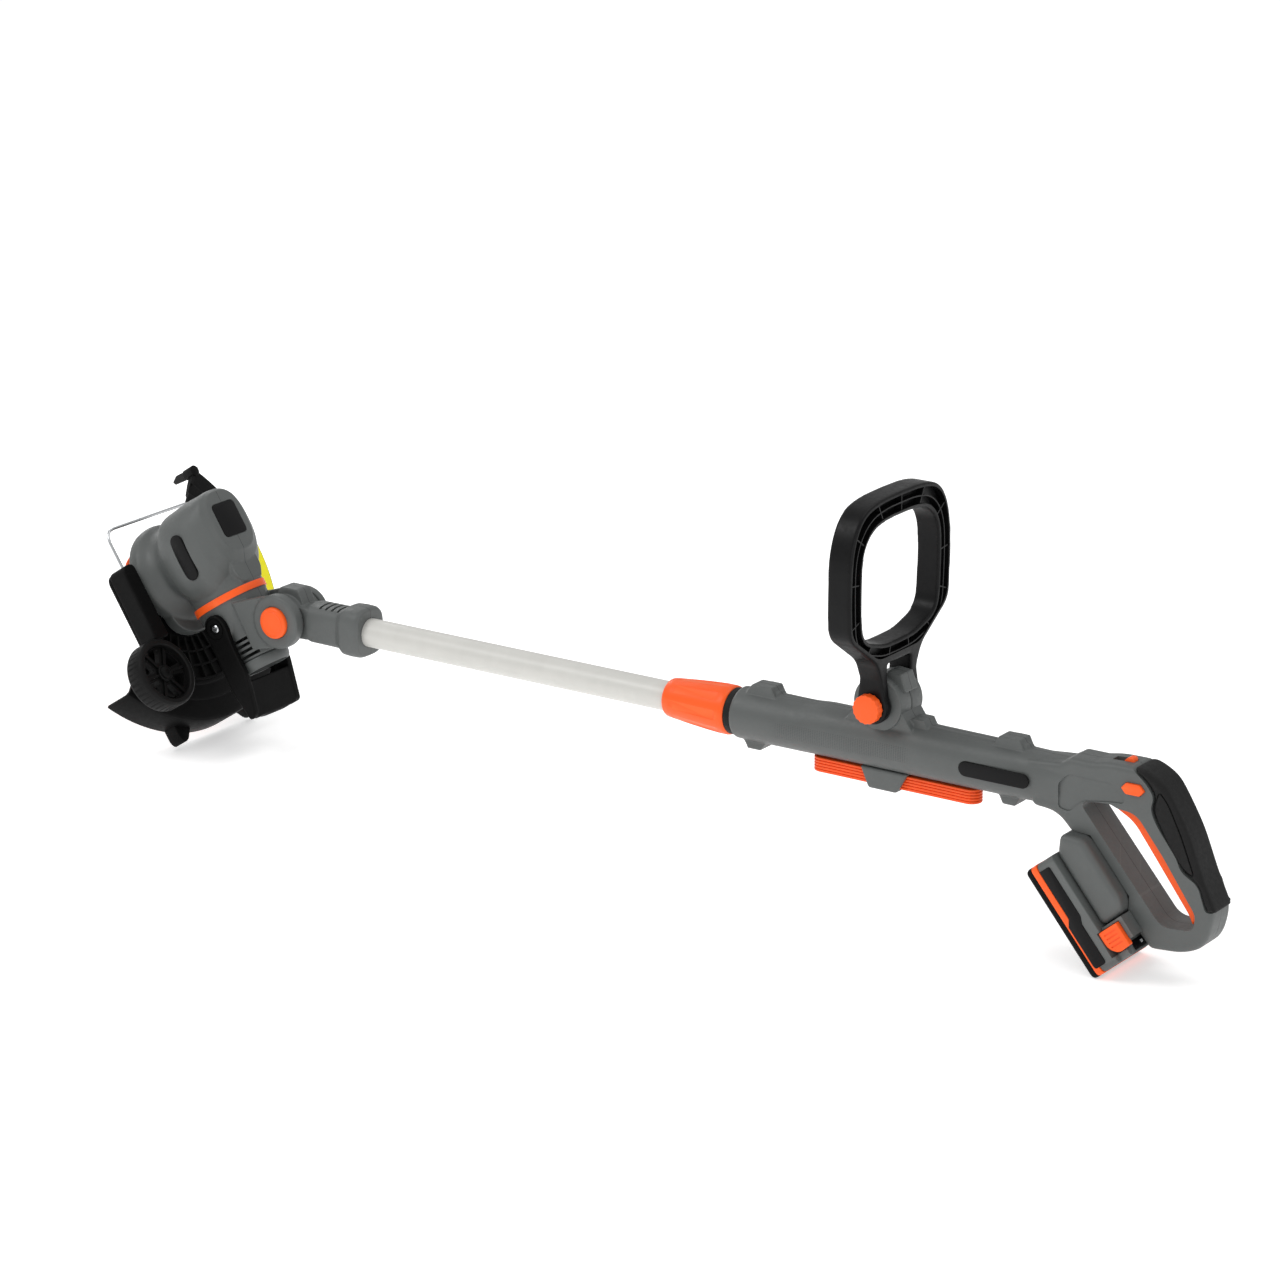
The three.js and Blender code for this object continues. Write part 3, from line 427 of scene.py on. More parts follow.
GREY = moulded('grey_moulding', '545756', 0.5, grain=0.3, seam=True).material
GREY_PLAIN = moulded('grey_moulding_plain', '545756', 0.5, grain=0.3).material
BLACK = moulded('black_moulding', '050505', 0.5, grain=0.28, speck=0.1, specular=0.08).material
SATIN_BLACK = moulded('satin_black', '070708', 0.4, grain=0.12, speck=0.08, specular=0.16).material
RUBBER = moulded('soft_rubber', '0c0c0c', 0.6, grain=0.6, grain_size=1500, speck=0.12,
                 specular=0.24).material
ORANGE = moulded('orange_moulding', 'fc5c1a', 0.4, grain=0.12, speck=0.03, specular=0.3).material
BLADE = moulded('blade_plastic', 'f4551a', 0.42, grain=0.2, speck=0.05, specular=0.3).material
TREAD = moulded('wheel_plastic', '090909', 0.5, grain=0.4, speck=0.12, specular=0.12).material
PALE_INK = moulded('pale_print', 'c9cccd', 0.5, grain=0.05, speck=0.02).material
BOARD = moulded('board_green', '1f6b3a', 0.4, grain=0.3).material
CELLS = moulded('cell_wrap', '2c5f8a', 0.3, grain=0.1).material


def knurled_grey():
    """The handle's grey, with a field of diamond knurling on both sides of the body, its dents darkened as
    painted shade.
    """
    n = Nodes('grey_handle')
    base = rgb('545756')
    tone = n.mix(n.noise(38, 4), tuple(c * 0.9 for c in base[:3]) + (1,),
                 tuple(c * 1.1 for c in base[:3]) + (1,))
    # Convex edges (high pointiness) are lightened: a painted highlight along the edges.
    edge = n.add('ShaderNodeNewGeometry').outputs['Pointiness']
    tone = n.mix(n.span(edge, 0.52, 0.62, 0.0, 0.4), tone, tuple(c * 1.5 for c in base[:3]) + (1,))
    x = n.axis('X')
    # Height above the body's own middle line, which slopes by the rest tilt.
    z = n.math('SUBTRACT', n.math('SUBTRACT', n.axis('Z'), SHIFT[2] / 1000),
               n.math('MULTIPLY', x, 0.01745))
    pitch = 1 / 0.0026
    up = n.math('SINE', n.math('MULTIPLY', n.math('ADD', n.math('MULTIPLY', x, 0.62), z),
                               2 * math.pi * pitch))
    down = n.math('SINE', n.math('MULTIPLY', n.math('SUBTRACT', n.math('MULTIPLY', x, 0.62), z),
                                 2 * math.pi * pitch))
    diamonds = n.math('MULTIPLY', up, down)
    within = n.math('MULTIPLY', n.span(x, 0.164, 0.170, 0, 1), n.span(x, 0.286, 0.294, 1, 0))
    lower = n.math('ADD', -0.0085, n.math('MULTIPLY', n.math('SUBTRACT', x, 0.164), 0.02))
    band = n.math('MULTIPLY', n.span(n.math('SUBTRACT', z, lower), 0.0, 0.001, 0, 1),
                  n.span(n.math('SUBTRACT', z, lower), 0.013, 0.014, 1, 0))
    field = n.math('MULTIPLY', within, band)
    dents = n.math('MULTIPLY', n.span(diamonds, 0.1, 0.5, 0, 1), field)
    # The knurl dents are darkened towards near black: painted shade in the recesses.
    tone = n.mix(n.math('MULTIPLY', dents, 0.4), tone, (0.022, 0.023, 0.024, 1))
    away = n.math('ABSOLUTE', n.math('SUBTRACT', n.axis('Y'), SHIFT[1] / 1000))
    line = n.span(away, 0.00014, 0.0004, 1.0, 0.0)
    tone = n.mix(n.math('MULTIPLY', line, 0.85), tone, (0.004, 0.004, 0.004, 1))
    n.link(tone, n.shader.inputs['Base Color'])
    n.link(n.span(n.noise(300, 3), 0.3, 0.7, 0.44, 0.56), n.shader.inputs['Roughness'])
    height = n.math('SUBTRACT', n.math('MULTIPLY', n.noise(2600, 2), 0.6),
                    n.math('ADD', n.math('MULTIPLY', dents, 2.5), n.math('MULTIPLY', line, 2.0)))
    n.bump(height, 0.35)
    return n.material


GREY_HANDLE = knurled_grey()


def metal(name, colour, rough, scratch=0.15, stretch=(1, 1, 30)):
    n = Nodes(name)
    base = rgb(colour)
    stretched = n.add('ShaderNodeMapping')
    stretched.inputs['Scale'].default_value = stretch
    n.link(n.place, stretched.inputs['Vector'])
    lines = n.noise(400, 4, vector=stretched.outputs['Vector'])
    n.link(n.mix(lines, tuple(c * 0.8 for c in base[:3]) + (1,), base),
           n.shader.inputs['Base Color'])
    n.link(n.span(lines, 0.3, 0.7, rough - 0.06, rough + 0.08), n.shader.inputs['Roughness'])
    n.shader.inputs['Metallic'].default_value = 1.0
    n.bump(lines, scratch)
    return n.material


STEEL = metal('drawn_steel', 'd4d6d8', 0.25)
DULL_STEEL = metal('dull_steel', '9a9da0', 0.4)


def coated_tube():
    """White powder coat: orange-peel skin and a few dust specks."""
    n = Nodes('white_powder_coat')
    n.link(n.mix(n.noise(60, 4), rgb('c3c2bd'), rgb('d2d1cc')), n.shader.inputs['Base Color'])
    n.link(n.span(n.noise(500, 2), 0.3, 0.7, 0.3, 0.42), n.shader.inputs['Roughness'])
    n.bump(n.noise(900, 3), 0.1)
    return n.material


TUBE_WHITE = coated_tube()


def sticker(name, colour, rough, edge_tone, specular=0.5):
    n = Nodes(name)
    n.link(n.mix(n.noise(90, 3), rgb(colour), rgb(edge_tone)), n.shader.inputs['Base Color'])
    n.link(n.span(n.noise(700, 2), 0.3, 0.7, rough, rough + 0.12), n.shader.inputs['Roughness'])
    n.shader.inputs['Specular IOR Level'].default_value = specular
    n.bump(n.noise(1500, 2), 0.05)
    return n.material


YELLOW = sticker('yellow_sticker', 'f8f01a', 0.35, 'f1e60a')
LABEL = sticker('dark_label', '0c0c0d', 0.34, '101011', 0.16)
BADGE = sticker('black_badge', '09090a', 0.34, '0d0d0e', 0.16)

# ---- motor head ---------------------------------------------------------------------------------
housing = melted('motor_housing', [
    loft([(2, 0, 43.5, 43.5, 2), (4, 0, 45.3, 45.3, 2), (14, 0, 45.3, 45.3, 2),
          (21, 0, 39, 39, 2), (28, -1, 35.5, 35.5, 2), (33, -1, 36, 37, 2.2),
          (42, -1, 39.5, 43.5, 2.4), (52, 0, 41, 45.5, 2.5), (72, -1, 40, 45.5, 2.5),
          (84, -6, 35, 40, 2.5), (93, -12, 28.5, 34, 2.6), (98, -15, 22, 28, 2.8)], 'Z'),
    loft([(0, BAND_Z, 30, 32, 2.2), (30, BAND_Z, 29.5, 34, 2.2), (50, BAND_Z, 28, 34.5, 2.2),
          (64, 58, 24.8, 33, 2), (80, NECK_Z, 22.8, 29, 2), (92, NECK_Z, 22, 26, 2),
          (103, NECK_Z, 21.5, 24.5, 2)], 'X'),
    prism(outline([(0, -30, 4), (44, -30, 12), (56, -14, 10), (56, 14, 10), (44, 30, 12),
                   (0, 30, 4)]), 2, 13, 'Z'),
    lathe(soft_pipe(0, 24, -27, -15.3, 2.5), 'Y', TILT_PIVOT, 64),
    lathe(soft_pipe(0, 21.5, 15.3, 23, 2), 'Y', TILT_PIVOT, 64),
    prism(outline([(52, 78), (60, 110, 10), (70, 132, 6), (108, 108, 4), (96, 76)]),
          -25, -15.3, 'Y'),
    prism(outline([(52, 78), (60, 110, 10), (70, 132, 6), (108, 108, 4), (96, 76)]),
          15.3, 21.5, 'Y'),
    lathe(soft_pipe(0, 13, -25.7, -16, 1.5), 'Y', PEDAL_PIVOT, 48),
    lathe(soft_pipe(0, 13, 16, 25.7, 1.5), 'Y', PEDAL_PIVOT, 48),
    # Raised web from the dome's back towards the band, and the swelling over the flange.
    prism(outline([(-14, -14), (30, -18, 5), (40, -12), (40, 12), (30, 18, 5), (-14, 14)]),
          70, 92, 'Z'),
], HEAD, voxel=0.8, smooth=7)
neck_slots = [block(x - 1.4, x + 1.4, side * 30 - 17, side * 30 + 17, 44, 76)
              for x in (84, 89, 94, 99) for side in (-1, 1)]
boolean(housing, [
    lathe([(16, 37), (30, 37), (34, 42), (34, 70), (28, 82), (16, 90)], 'Z', segments=48),
    moved(lathe(rod(19, 30, 110), 'X', (0, NECK_Z), 48)),
    lathe(rod(21.4, -15.3, 15.3), 'Y', TILT_PIVOT, 64),
    block(70, 130, -15.3, 15.3, TILT_PIVOT[1] - 17, 150),
    lathe(rod(14.4, -40, -22.5), 'Y', TILT_PIVOT, 64),
    prism(stadium(43.6, 14.6, -1.5, 66), -60, -38.2, 'Y'),
    prism(outline([(-31.9, -14.9, 5), (-0.1, -14.9, 5), (-0.1, 14.9, 5), (-31.9, 14.9, 5)]),
          97.1, 110, 'Z'),
    lathe(rod(4.4, -3, 40), 'Z', segments=32),
] + neck_slots, HEAD)
finish_piece(housing, GREY, 'head', 'grey_casing', 'motor_housing_left', 'motor_housing_right')


def band_skin(from_x, to_x, grow):
    return loft([(from_x, BAND_Z, 29.0 + grow, 34.4 + grow, 2.2),
                 (to_x, BAND_Z, 28.6 + grow, 34.6 + grow, 2.2)], 'X', curve=1)


band = skin_object('neck_band', [band_skin(41.8, 48.2, 1.0)], HEAD)
boolean(band, [band_skin(40, 50, -1.2)], HEAD)
round_edges(band, 0.6, 3)
finish_piece(band, ORANGE, 'head', 'orange_trim', 'neck_band')

badge = skin_object('head_badge', [prism(stadium(42.6, 13.6, -1.5, 66), -40.6, -38.4, 'Y')], HEAD)
round_edges(badge, 0.5)
finish_piece(badge, BADGE, 'head', 'dark_label', 'head_badge')
plate = outline([(-31.4, -14.4, 5), (-0.6, -14.4, 5), (-0.6, 14.4, 5), (-31.4, 14.4, 5)])
label = skin_object('rating_label', [prism(plate, 97.4, 98.4, 'Z')], HEAD)
round_edges(label, 0.3)
finish_piece(label, LABEL, 'head', 'dark_label', 'rating_label')

ring = skin_object('vent_ring', [lathe(
    [(17.5, 103.3), (23.5, 103.3), (24, 105), (23.2, 110), (21.5, 113), (19, 113)],
    'X', (0, NECK_Z), 72)], HEAD)
round_edges(ring, 0.5)
finish_piece(ring, GREY_PLAIN, 'head', 'grey_casing', 'vent_ring')
inner = skin_object('vent_grille', [lathe(
    [(0, 100.5), (17.2, 100.5), (17.2, 101.7), (0, 101.7)], 'X', (0, NECK_Z), 48)], HEAD)
finish_piece(inner, BLACK, 'head', 'black_casing')

button = skin_object('pivot_button', [lathe(
    [(0, -31), (10.4, -31), (10.8, -30.6), (12.4, -30.6), (13.5, -29.8), (13.9, -28.6),
     (13.9, -26), (0, -26)], 'Y', TILT_PIVOT, 72)], HEAD)
finish_piece(button, ORANGE, 'pivot_button', 'orange_trim', 'pivot_button')
cap = skin_object('pivot_cap', [lathe(
    [(0, 23.6), (14, 23.6), (14, 24.4), (12.5, 26), (0, 26)], 'Y', TILT_PIVOT, 64)], HEAD)
finish_piece(cap, GREY_PLAIN, 'head', 'grey_casing', 'pivot_cap')

# ---- adaptor between pole and head --------------------------------------------------------------
px, pz = PIVOT.x, PIVOT.z
adaptor = melted('pole_adaptor', [
    loft([(-350, 0, 13, 14, 3), (-338, 0, 16, 17.6, 3), (-306, 0, 16.5, 17.8, 3),
          (-300, 0, 19.3, 21.4, 3.4), (-284, 0, 19.5, 21.6, 3.4), (-280.5, 0, 18, 20, 3.4)],
         'X', curve=2),
    lathe(soft_pipe(0, 20.5, -15, 15, 1.5), 'Y', (px, pz), 72),
    block(px, -340, -14, 14, -14, 14),
    prism(outline([(px - 15, 12), (px + 19, 12), (px + 12, 27.8, 3), (px - 8, 27.8, 3)]),
          -8.5, 8.5, 'Y'),
], POLE, voxel=0.7, smooth=6)
slots = [block(x - 1.2, x + 1.2, -11, 11, side * 19 - 3.8, side * 19 + 3.8)
         for x in (-327, -320.5, -314, -307.5) for side in (-1, 1)]
boolean(adaptor, [lathe(rod(12.8, -330, -270), 'X', segments=64)] + slots, POLE)
finish_piece(adaptor, GREY, 'pole', 'grey_casing', 'adaptor_left', 'adaptor_right')

tube = skin_object('pole_tube', [lathe(pipe(11.3, 12.5, -328, 190), 'X', segments=96)], POLE)
finish_piece(tube, TUBE_WHITE, 'pole', 'pole_tube', 'tube')

# ---- guard, wheel and wire ----------------------------------------------------------------------
guard = skin_object('guard', [lathe(
    [(60, -3), (60, 0), (99, 0), (100.5, -0.6), (101.5, -2), (112.5, -2), (114, -2.6), (115, -4),
     (130.5, -4), (133, -5.4), (134, -8.5), (134, -34.5), (131.4, -34.5), (131.2, -10),
     (129, -7), (113, -7), (99, -5), (96, -3)], 'Z', segments=110, start=-51, end=131)], HEAD)
boolean(guard, [turned_about(prism(outline([(100, -14), (160, -14), (160, -50), (100, -50)]),
                                   -3, 25, 'Y'), 123)], HEAD)
guard_plate = skin_object('guard_plate', [
    prism(outline([(-19, -67, 10), (60, -67, 4), (63, 10), (55, 68, 6), (-18, 68, 10)]),
          -3, 0, 'Z')], HEAD)
boolean(guard_plate, [lathe(rod(9, -10, 10), 'Z', segments=48)], HEAD)
round_edges(guard_plate, 0.8)
finish_piece(guard_plate, BLACK, 'head', 'black_casing')
guard_ribs = [turned_about(block(57, 97, -0.9, 0.9, -1, 2.2), a) for a in range(-48, 45, 8)]
guard_ribs += [turned_about(lathe(pipe(r, r + 1.6, -1, 2.2), 'Z', segments=40,
                                  start=-50, end=44), 0) for r in (70, 83, 96)]
ribs = skin_object('guard_ribs', guard_ribs, HEAD)
finish_piece(ribs, BLACK, 'head', 'black_casing')
feet = skin_object('guard_feet', [turned_about(prism(outline(
    [(131.6, -10), (145, -5, 3), (148.5, 0, 3), (145, 5, 3), (131.6, 10)]), -34.5, -20, 'Z'), a)
    for a in (-20, 20)], HEAD)
round_edges(feet, 0.8)
finish_piece(feet, BLACK, 'head', 'black_casing')
tip = (127 * math.cos(math.radians(131)), 127 * math.sin(math.radians(131)))
hook = skin_object('guard_hook', [
    turned_about(prism(outline([(112, -1), (133, -1), (136.4, -30.4, 1), (128.4, -32.4, 2),
                                (124, -10, 4)]), -1.5, 1.5, 'Y'), 130.3),
    lathe([(0, -12), (4.6, -12), (5, -11.4), (5, 0), (4.2, 0.6), (0, 0.6)], 'Z', tip, 40)], HEAD)
finish_piece(hook, BLACK, 'head', 'black_casing')
round_edges(guard, 0.7)
finish_piece(guard, BLACK, 'head', 'black_casing', 'guard', angle=30)

face = [Vector((116 * math.cos(math.radians(a)), 116 * math.sin(math.radians(a))))
        for a in range(98, 61, -2)]
face += [Vector((130.4 * math.cos(math.radians(a)), 130.4 * math.sin(math.radians(a))))
         for a in range(62, 99, 2)]
yellow = skin_object('guard_sticker', [prism(face, -3.9, -3.4, 'Z')], HEAD)
finish_piece(yellow, YELLOW, 'head', 'yellow_sticker', 'guard_sticker')

arm = melted('wheel_arm', [
    prism(outline([(-20, -67, 10), (51, -68, 3), (51, -51, 3), (-20, -51, 6)]), 0.3, 20, 'Z'),
    prism(outline([(40, -66, 2), (56, -68, 2), (72, -91, 10), (92, -90, 10), (92, -69, 10),
                   (60, -52, 4), (40, -52, 2)]), 0.3, 6.9, 'Z')], HEAD, voxel=0.7, smooth=10)
boolean(arm, [lathe(rod(1.9, -40, 53.5), 'X', (-60, 14), 24),
              lathe(rod(4.3, -5, 12), 'Z', WHEEL, 32)], HEAD)
finish_piece(arm, BLACK, 'head', 'black_casing', 'wheel_arm')
guide = skin_object('plant_guard_guide', [
    prism(outline([(-18, 51, 3), (52, 51, 3), (52, 67, 3), (-18, 67, 3)]), 0.3, 18, 'Z')], HEAD)
boolean(guide, [lathe(rod(1.9, -40, 53.5), 'X', (60, 14), 24)], HEAD)
round_edges(guide, 1.5, 4)
finish_piece(guide, BLACK, 'head', 'black_casing', 'plant_guard_guide')

wire_path = [(50, -60, 14), (-44, -60, 14), (-50, -58.5, 14), (-54, -54, 14), (-55, -48, 14),
             (-55, 0, 14), (-55, 48, 14), (-54, 54, 14), (-50, 58.5, 14), (-44, 60, 14),
             (50, 60, 14)]
curve = bpy.data.curves.new('plant_guard_wire', 'CURVE')
curve.dimensions = '3D'
curve.bevel_depth = 0.0014
curve.bevel_resolution = 5
curve.use_fill_caps = True
spline = curve.splines.new('POLY')
spline.points.add(len(wire_path) - 1)
for point, place in zip(spline.points, wire_path):
    point.co = (*(HEAD @ Vector(place)), 1)
wire_curve = bpy.data.objects.new('wire_curve', curve)
bpy.context.scene.collection.objects.link(wire_curve)
wire_mesh = bpy.data.meshes.new_from_object(
    wire_curve.evaluated_get(bpy.context.evaluated_depsgraph_get()))
bpy.data.objects.remove(wire_curve)
wire = bpy.data.objects.new('plant_guard_wire', wire_mesh)
bpy.context.scene.collection.objects.link(wire)
finish_piece(wire, STEEL, 'plant_guard', 'bright_steel', 'plant_guard_wire')

wheel = skin_object('wheel', [lathe(
    [(24.6, 7.3), (28.6, 7.3), (30.2, 8.2), (31, 10), (31, 24.4), (30.4, 26), (29, 27),
     (26, 27), (25, 26), (24.6, 20.5), (7.4, 20.5), (7.4, 23.4), (6.6, 24), (4.3, 24),
     (4.3, 7.3), (8, 7.3), (8, 15), (24.6, 15)], 'Z', segments=120)],
    HEAD @ Matrix.Translation((*WHEEL, 0)))
windows = []
for k in range(6):
    a = math.radians(60 * k)
    half = math.radians(19)
    outer = [Vector((23.4 * math.cos(a + half * t), 23.4 * math.sin(a + half * t)))
             for t in (-1, -0.5, 0, 0.5, 1)]
    close = [Vector((10.4 * math.cos(a + half * t), 10.4 * math.sin(a + half * t)))
             for t in (0.55, 0, -0.55)]
    windows.append(prism(outline([(*p, 1.2) for p in outer + close], 3), 10, 26, 'Z'))
treads = [turned_about(block(30.7, 32, -0.3, 0.3, 10.5, 23.5), 9 * k) for k in range(40)]
boolean(wheel, windows + treads, HEAD @ Matrix.Translation((*WHEEL, 0)))
spokes = [turned_about(block(7, 24.8, -1.0, 1.0, 20, 22.4), 30 + 60 * k) for k in range(6)]
boolean(wheel, spokes, HEAD @ Matrix.Translation((*WHEEL, 0)), 'UNION')
finish_piece(wheel, TREAD, 'wheel', 'black_casing', 'wheel', angle=35)
axle = skin_object('wheel_axle', [lathe(
    [(0, 0.5), (4, 0.5), (4, 24.3), (6.4, 24.3), (6.4, 25), (5.6, 26.3), (4, 27), (2.6, 27.2),
     (2.2, 26.6), (0, 26.6)], 'Z', WHEEL, 48)], HEAD)
finish_piece(axle, BLACK, 'head', 'black_casing', 'wheel_axle')

# ---- foot pedal ---------------------------------------------------------------------------------
arm_side = outline([(65, 40.3, 8), (53, 46, 9), (53, 60, 9), (65, 65.7, 8), (84, 62, 10),
                    (112, 62, 5), (149, 50.5, 3), (150, 43, 3), (120, 38, 8)])
plate_face = outline([(111, -27, 2), (114, -21, 4), (119, -16, 6), (119, 16, 6), (114, 21, 4),
                      (111, 27, 2), (147, 27, 10), (151, 16, 6), (151, -16, 6), (147, -27, 10)])
pedal = melted('foot_pedal', [
    prism(arm_side, -31.6, -26.2, 'Y'), prism(arm_side, 26.2, 31.6, 'Y'),
    prism(plate_face, 42.5, 48.5, 'Z'),
    prism(outline([(118, 47), (150, 43), (150, 50), (119, 59)]), -25.5, 25.5, 'Y')],
    HEAD, voxel=0.7, smooth=6)
boolean(pedal, [lathe(rod(3.8, -60, 60), 'Y', PEDAL_PIVOT, 32),
                lathe(pipe(8.6, 10, -60, -30.9), 'Y', PEDAL_PIVOT, 64),
                lathe(rod(5.6, -60, -30.2), 'Y', PEDAL_PIVOT, 48)], HEAD)
finish_piece(pedal, BLACK, 'pedal', 'black_casing', 'foot_pedal')
pin = skin_object('pedal_pin', [lathe(
    [(0, -31.4), (2.6, -31.4), (3.5, -30.6), (3.5, 31.4), (0, 31.4)], 'Y', PEDAL_PIVOT, 32)], HEAD)
finish_piece(pin, STEEL, 'head', 'bright_steel', 'pedal_pin')

# ---- cutting parts ------------------------------------------------------------------------------
disc = skin_object('cutting_disc', [lathe(
    [(3.3, -6), (8.4, -6), (9, -6.6), (11, -13), (33, -15), (34, -16), (34, -17.4), (33, -18),
     (12, -19), (9, -21), (3.3, -21)], 'Z', segments=96),
    lathe(rod(3, -23.6, -16), 'Z', (30, 0), 32)], HEAD)
finish_piece(disc, ORANGE, 'rotor', 'orange_trim', 'cutting_disc')
blade = skin_object('cutting_blade', [prism(outline(
    [(23, -7, 7), (42, -8, 6), (121, -5, 3), (124, 4, 3), (50, 8, 8), (23, 7, 7)]),
    -22.2, -19.4, 'Z')], HEAD)
boolean(blade, [lathe(rod(3.4, -30, -10), 'Z', (30, 0), 32)], HEAD)
round_edges(blade, 0.6)
finish_piece(blade, BLADE, 'blade', 'blade_plastic', 'cutting_blade')

# ---- rear handle --------------------------------------------------------------------------------
grip_frame = outline([
    (372, 17), (404, 20), (413, 25.5), (432, 25.5), (445, 28, 8), (476, 28.5, 14), (493, 20, 9),
    (503, 5, 8), (516, -17, 12), (530, -52, 12), (541, -75, 12), (535, -104, 14),
    (517, -113.5, 11), (487, -116), (480, -108), (419, -38, 10), (402, -21, 10), (380, -19.5)])
window = outline([
    (428, -6, 5), (449, -4.5, 3), (456, -7, 2), (472, -8, 9), (497, -39, 4), (526, -80, 5),
    (524, -93, 5), (497, -95.5, 9), (424, -10, 5)])
pad_side = outline([
    (466, 28.4), (476, 28.6, 8), (493, 20, 9), (503, 5, 6), (516, -17, 12), (530, -52, 10),
    (541.5, -76, 2), (534, -75, 3), (527, -55, 6), (512, -47, 6), (508, -37, 6), (490, -14, 8), (484, -2, 6),
    (487, 8, 5), (480, 18, 6)])


def rib(points, half, plane='Y'):
    return prism(outline(points), -half, half, plane)


def stepped_rib(x0, x1, low, high, half=8.5):
    """A trapezoid rib with a smaller one on its shoulders, as the casing has them."""
    return [rib([(x0, low), (x1, low), (x1 - 7, high), (x0 + 8, high)], half),
            rib([(x0 - 3, low), (x1 + 4, low), (x1 - 3, high - 4), (x0 + 4, high - 4)], half - 3)]


handle = melted('handle_casing', [
    prism(grip_frame, -HALF_GRIP, HALF_GRIP, 'Y'),
    loft([(100.5, 0.5, 20.3, 20.3, 2), (102.5, 0.5, 21.5, 21.5, 2), (165, 0.5, 21.5, 21.5, 2),
          (185, 1.5, 21.5, 21.5, 2.3), (320, 1, 21, 21, 2.4), (380, 0.5, 19, 20, 2.6),
          (420, 2.5, 16.5, 17.5, 3), (432, 4.5, 13, 14, 3)], 'X', curve=3),
    *stepped_rib(107, 141, 16, 28.5), *stepped_rib(337, 371, 14, 28.5),
    rib([(258, 14), (284, 14), (277, 28), (266, 28)], 8.5),
    rib([(200, 15), (345, 14), (338, 22.6), (206, 23.2)], 5),
    rib([(141, 15), (205, 15), (205, 22.4), (141, 22.6)], 4),
    rib([(106, -16), (131, -16), (124, -26.5), (112, -26.5)], 9),
    rib([(344, -14), (368, -14), (361, -26.5), (350, -26.5)], 9),
    rib([(206, 16), (272, 16), (258, 36), (222, 36)], 15),
    lathe(soft_pipe(5, 21, -16.4, 16.4, 1.2), 'Y', LOOP_PIVOT, 96),
    rib([(236, 50), (261, 48), (256, 62.5), (243, 63.5)], 9),
], POLE, voxel=0.8, smooth=5, round_width=4.5)
panel = outline([(404, -16, 3), (404, 4, 3), (412, 13, 4), (450, 12.5, 4), (461, 3, 3), (461, -2, 3),
                 (449, -3, 3), (424, -7, 6), (414, -18, 4)])
hole_list = [
    prism(window, -30, 30, 'Y'),
    lathe(rod(17.5, 95, 395), 'X', segments=72),
    lathe(rod(5.3, -30, 30), 'Y', LOOP_PIVOT, 40),
    prism(offset(pad_side, 0.3), -30, 30, 'Y'),
    prism(offset(outline([(459, 11.5), (463, 7), (475, 7), (479, 11.5), (475, 16), (463, 16)]),
                 0.3), -30, 30, 'Y'),
    block(443.5, 462.5, -4.4, 4.4, 22.5, 40),
    prism(panel, -30, -HALF_GRIP + 0.9, 'Y'), prism(panel, HALF_GRIP - 0.9, 30, 'Y'),
    prism(stadium(64, 13, 348.5, 0.5), -40, -19.4, 'Y'),
    block(220, 266, -13.6, 13.6, -40, -18.2),
]
for angle in (0, 1.33, 2.67, 4):
    about = Matrix.Translation((454.5, 0, -6.5)) @ about_y(-angle) @ Matrix.Translation(
        (-454.5, 0, 6.5))
    side = offset(outline([(449.5, -4), (450.5, -10), (466, -18, 8), (483, -40, 8),
                           (517, -85, 5), (519.5, -91.5), (525.5, -85), (503, -40, 8),
                           (485, -14, 8), (474, -4.5, 5)]), 0.35)
    skin = prism(side, -9.6, 9.6, 'Y')
    hole_list.append(([about @ Vector(p) for p in skin[0]], skin[1]))
for x, z in ((123, 23.6), (353, 23.6), (438, 10), (531, -97)):
    hole_list.append(lathe(rod(3.4, 5.7, 30), 'Y', (x, z), 32))
boolean(handle, [lathe(soft_pipe(5, 22, side * 8.7 - 8.3, side * 8.7 + 8.3, 1.2), 'Y', LOOP_PIVOT, 96)
                 for side in (-1, 1)], POLE, 'UNION')
boolean(handle, hole_list, POLE)
dock_side = outline([(289, 296), (301, 284), (367, 283.6), (367, 303), (358, 311), (303, 311)])
boolean(handle, [prism(offset(dock_side, 0.3), -31, 31, 'Y'), block(303, 368, -31, 31, 270, 284)],
        STRUT)
finish_piece(handle, GREY_HANDLE, 'handle', 'grey_casing', 'handle_shell_left',
             'handle_shell_right', angle=45)

pad = melted('rear_grip_pad', [prism(pad_side, -HALF_GRIP + 0.2, HALF_GRIP - 0.2, 'Y')], POLE,
             voxel=0.7, smooth=5, round_width=4.5)
finger_panel = outline([(491, 14, 4), (499, 5, 5), (511, -18, 8), (524, -50, 6), (514, -45, 6),
                        (503, -32, 6), (492, -13, 6), (487, -2, 5)])
ring_cut = [prism(offset(finger_panel, 0.5), low, high, 'Y')
            for low, high in ((-30, -HALF_GRIP + 1.3), (HALF_GRIP - 1.3, 30))]
boolean(pad, ring_cut, POLE)
finish_piece(pad, RUBBER, 'handle', 'soft_grip', 'rear_grip_pad')
for side, low, high in (('left', -HALF_GRIP + 0.1, -14), ('right', 14, HALF_GRIP - 0.1)):
    insert = skin_object(f'grip_insert_{side}', [prism(offset(finger_panel, -0.7), low, high, 'Y')],
                         POLE)
    round_edges(insert, 0.8)
    finish_piece(insert, RUBBER, 'handle', 'soft_grip')

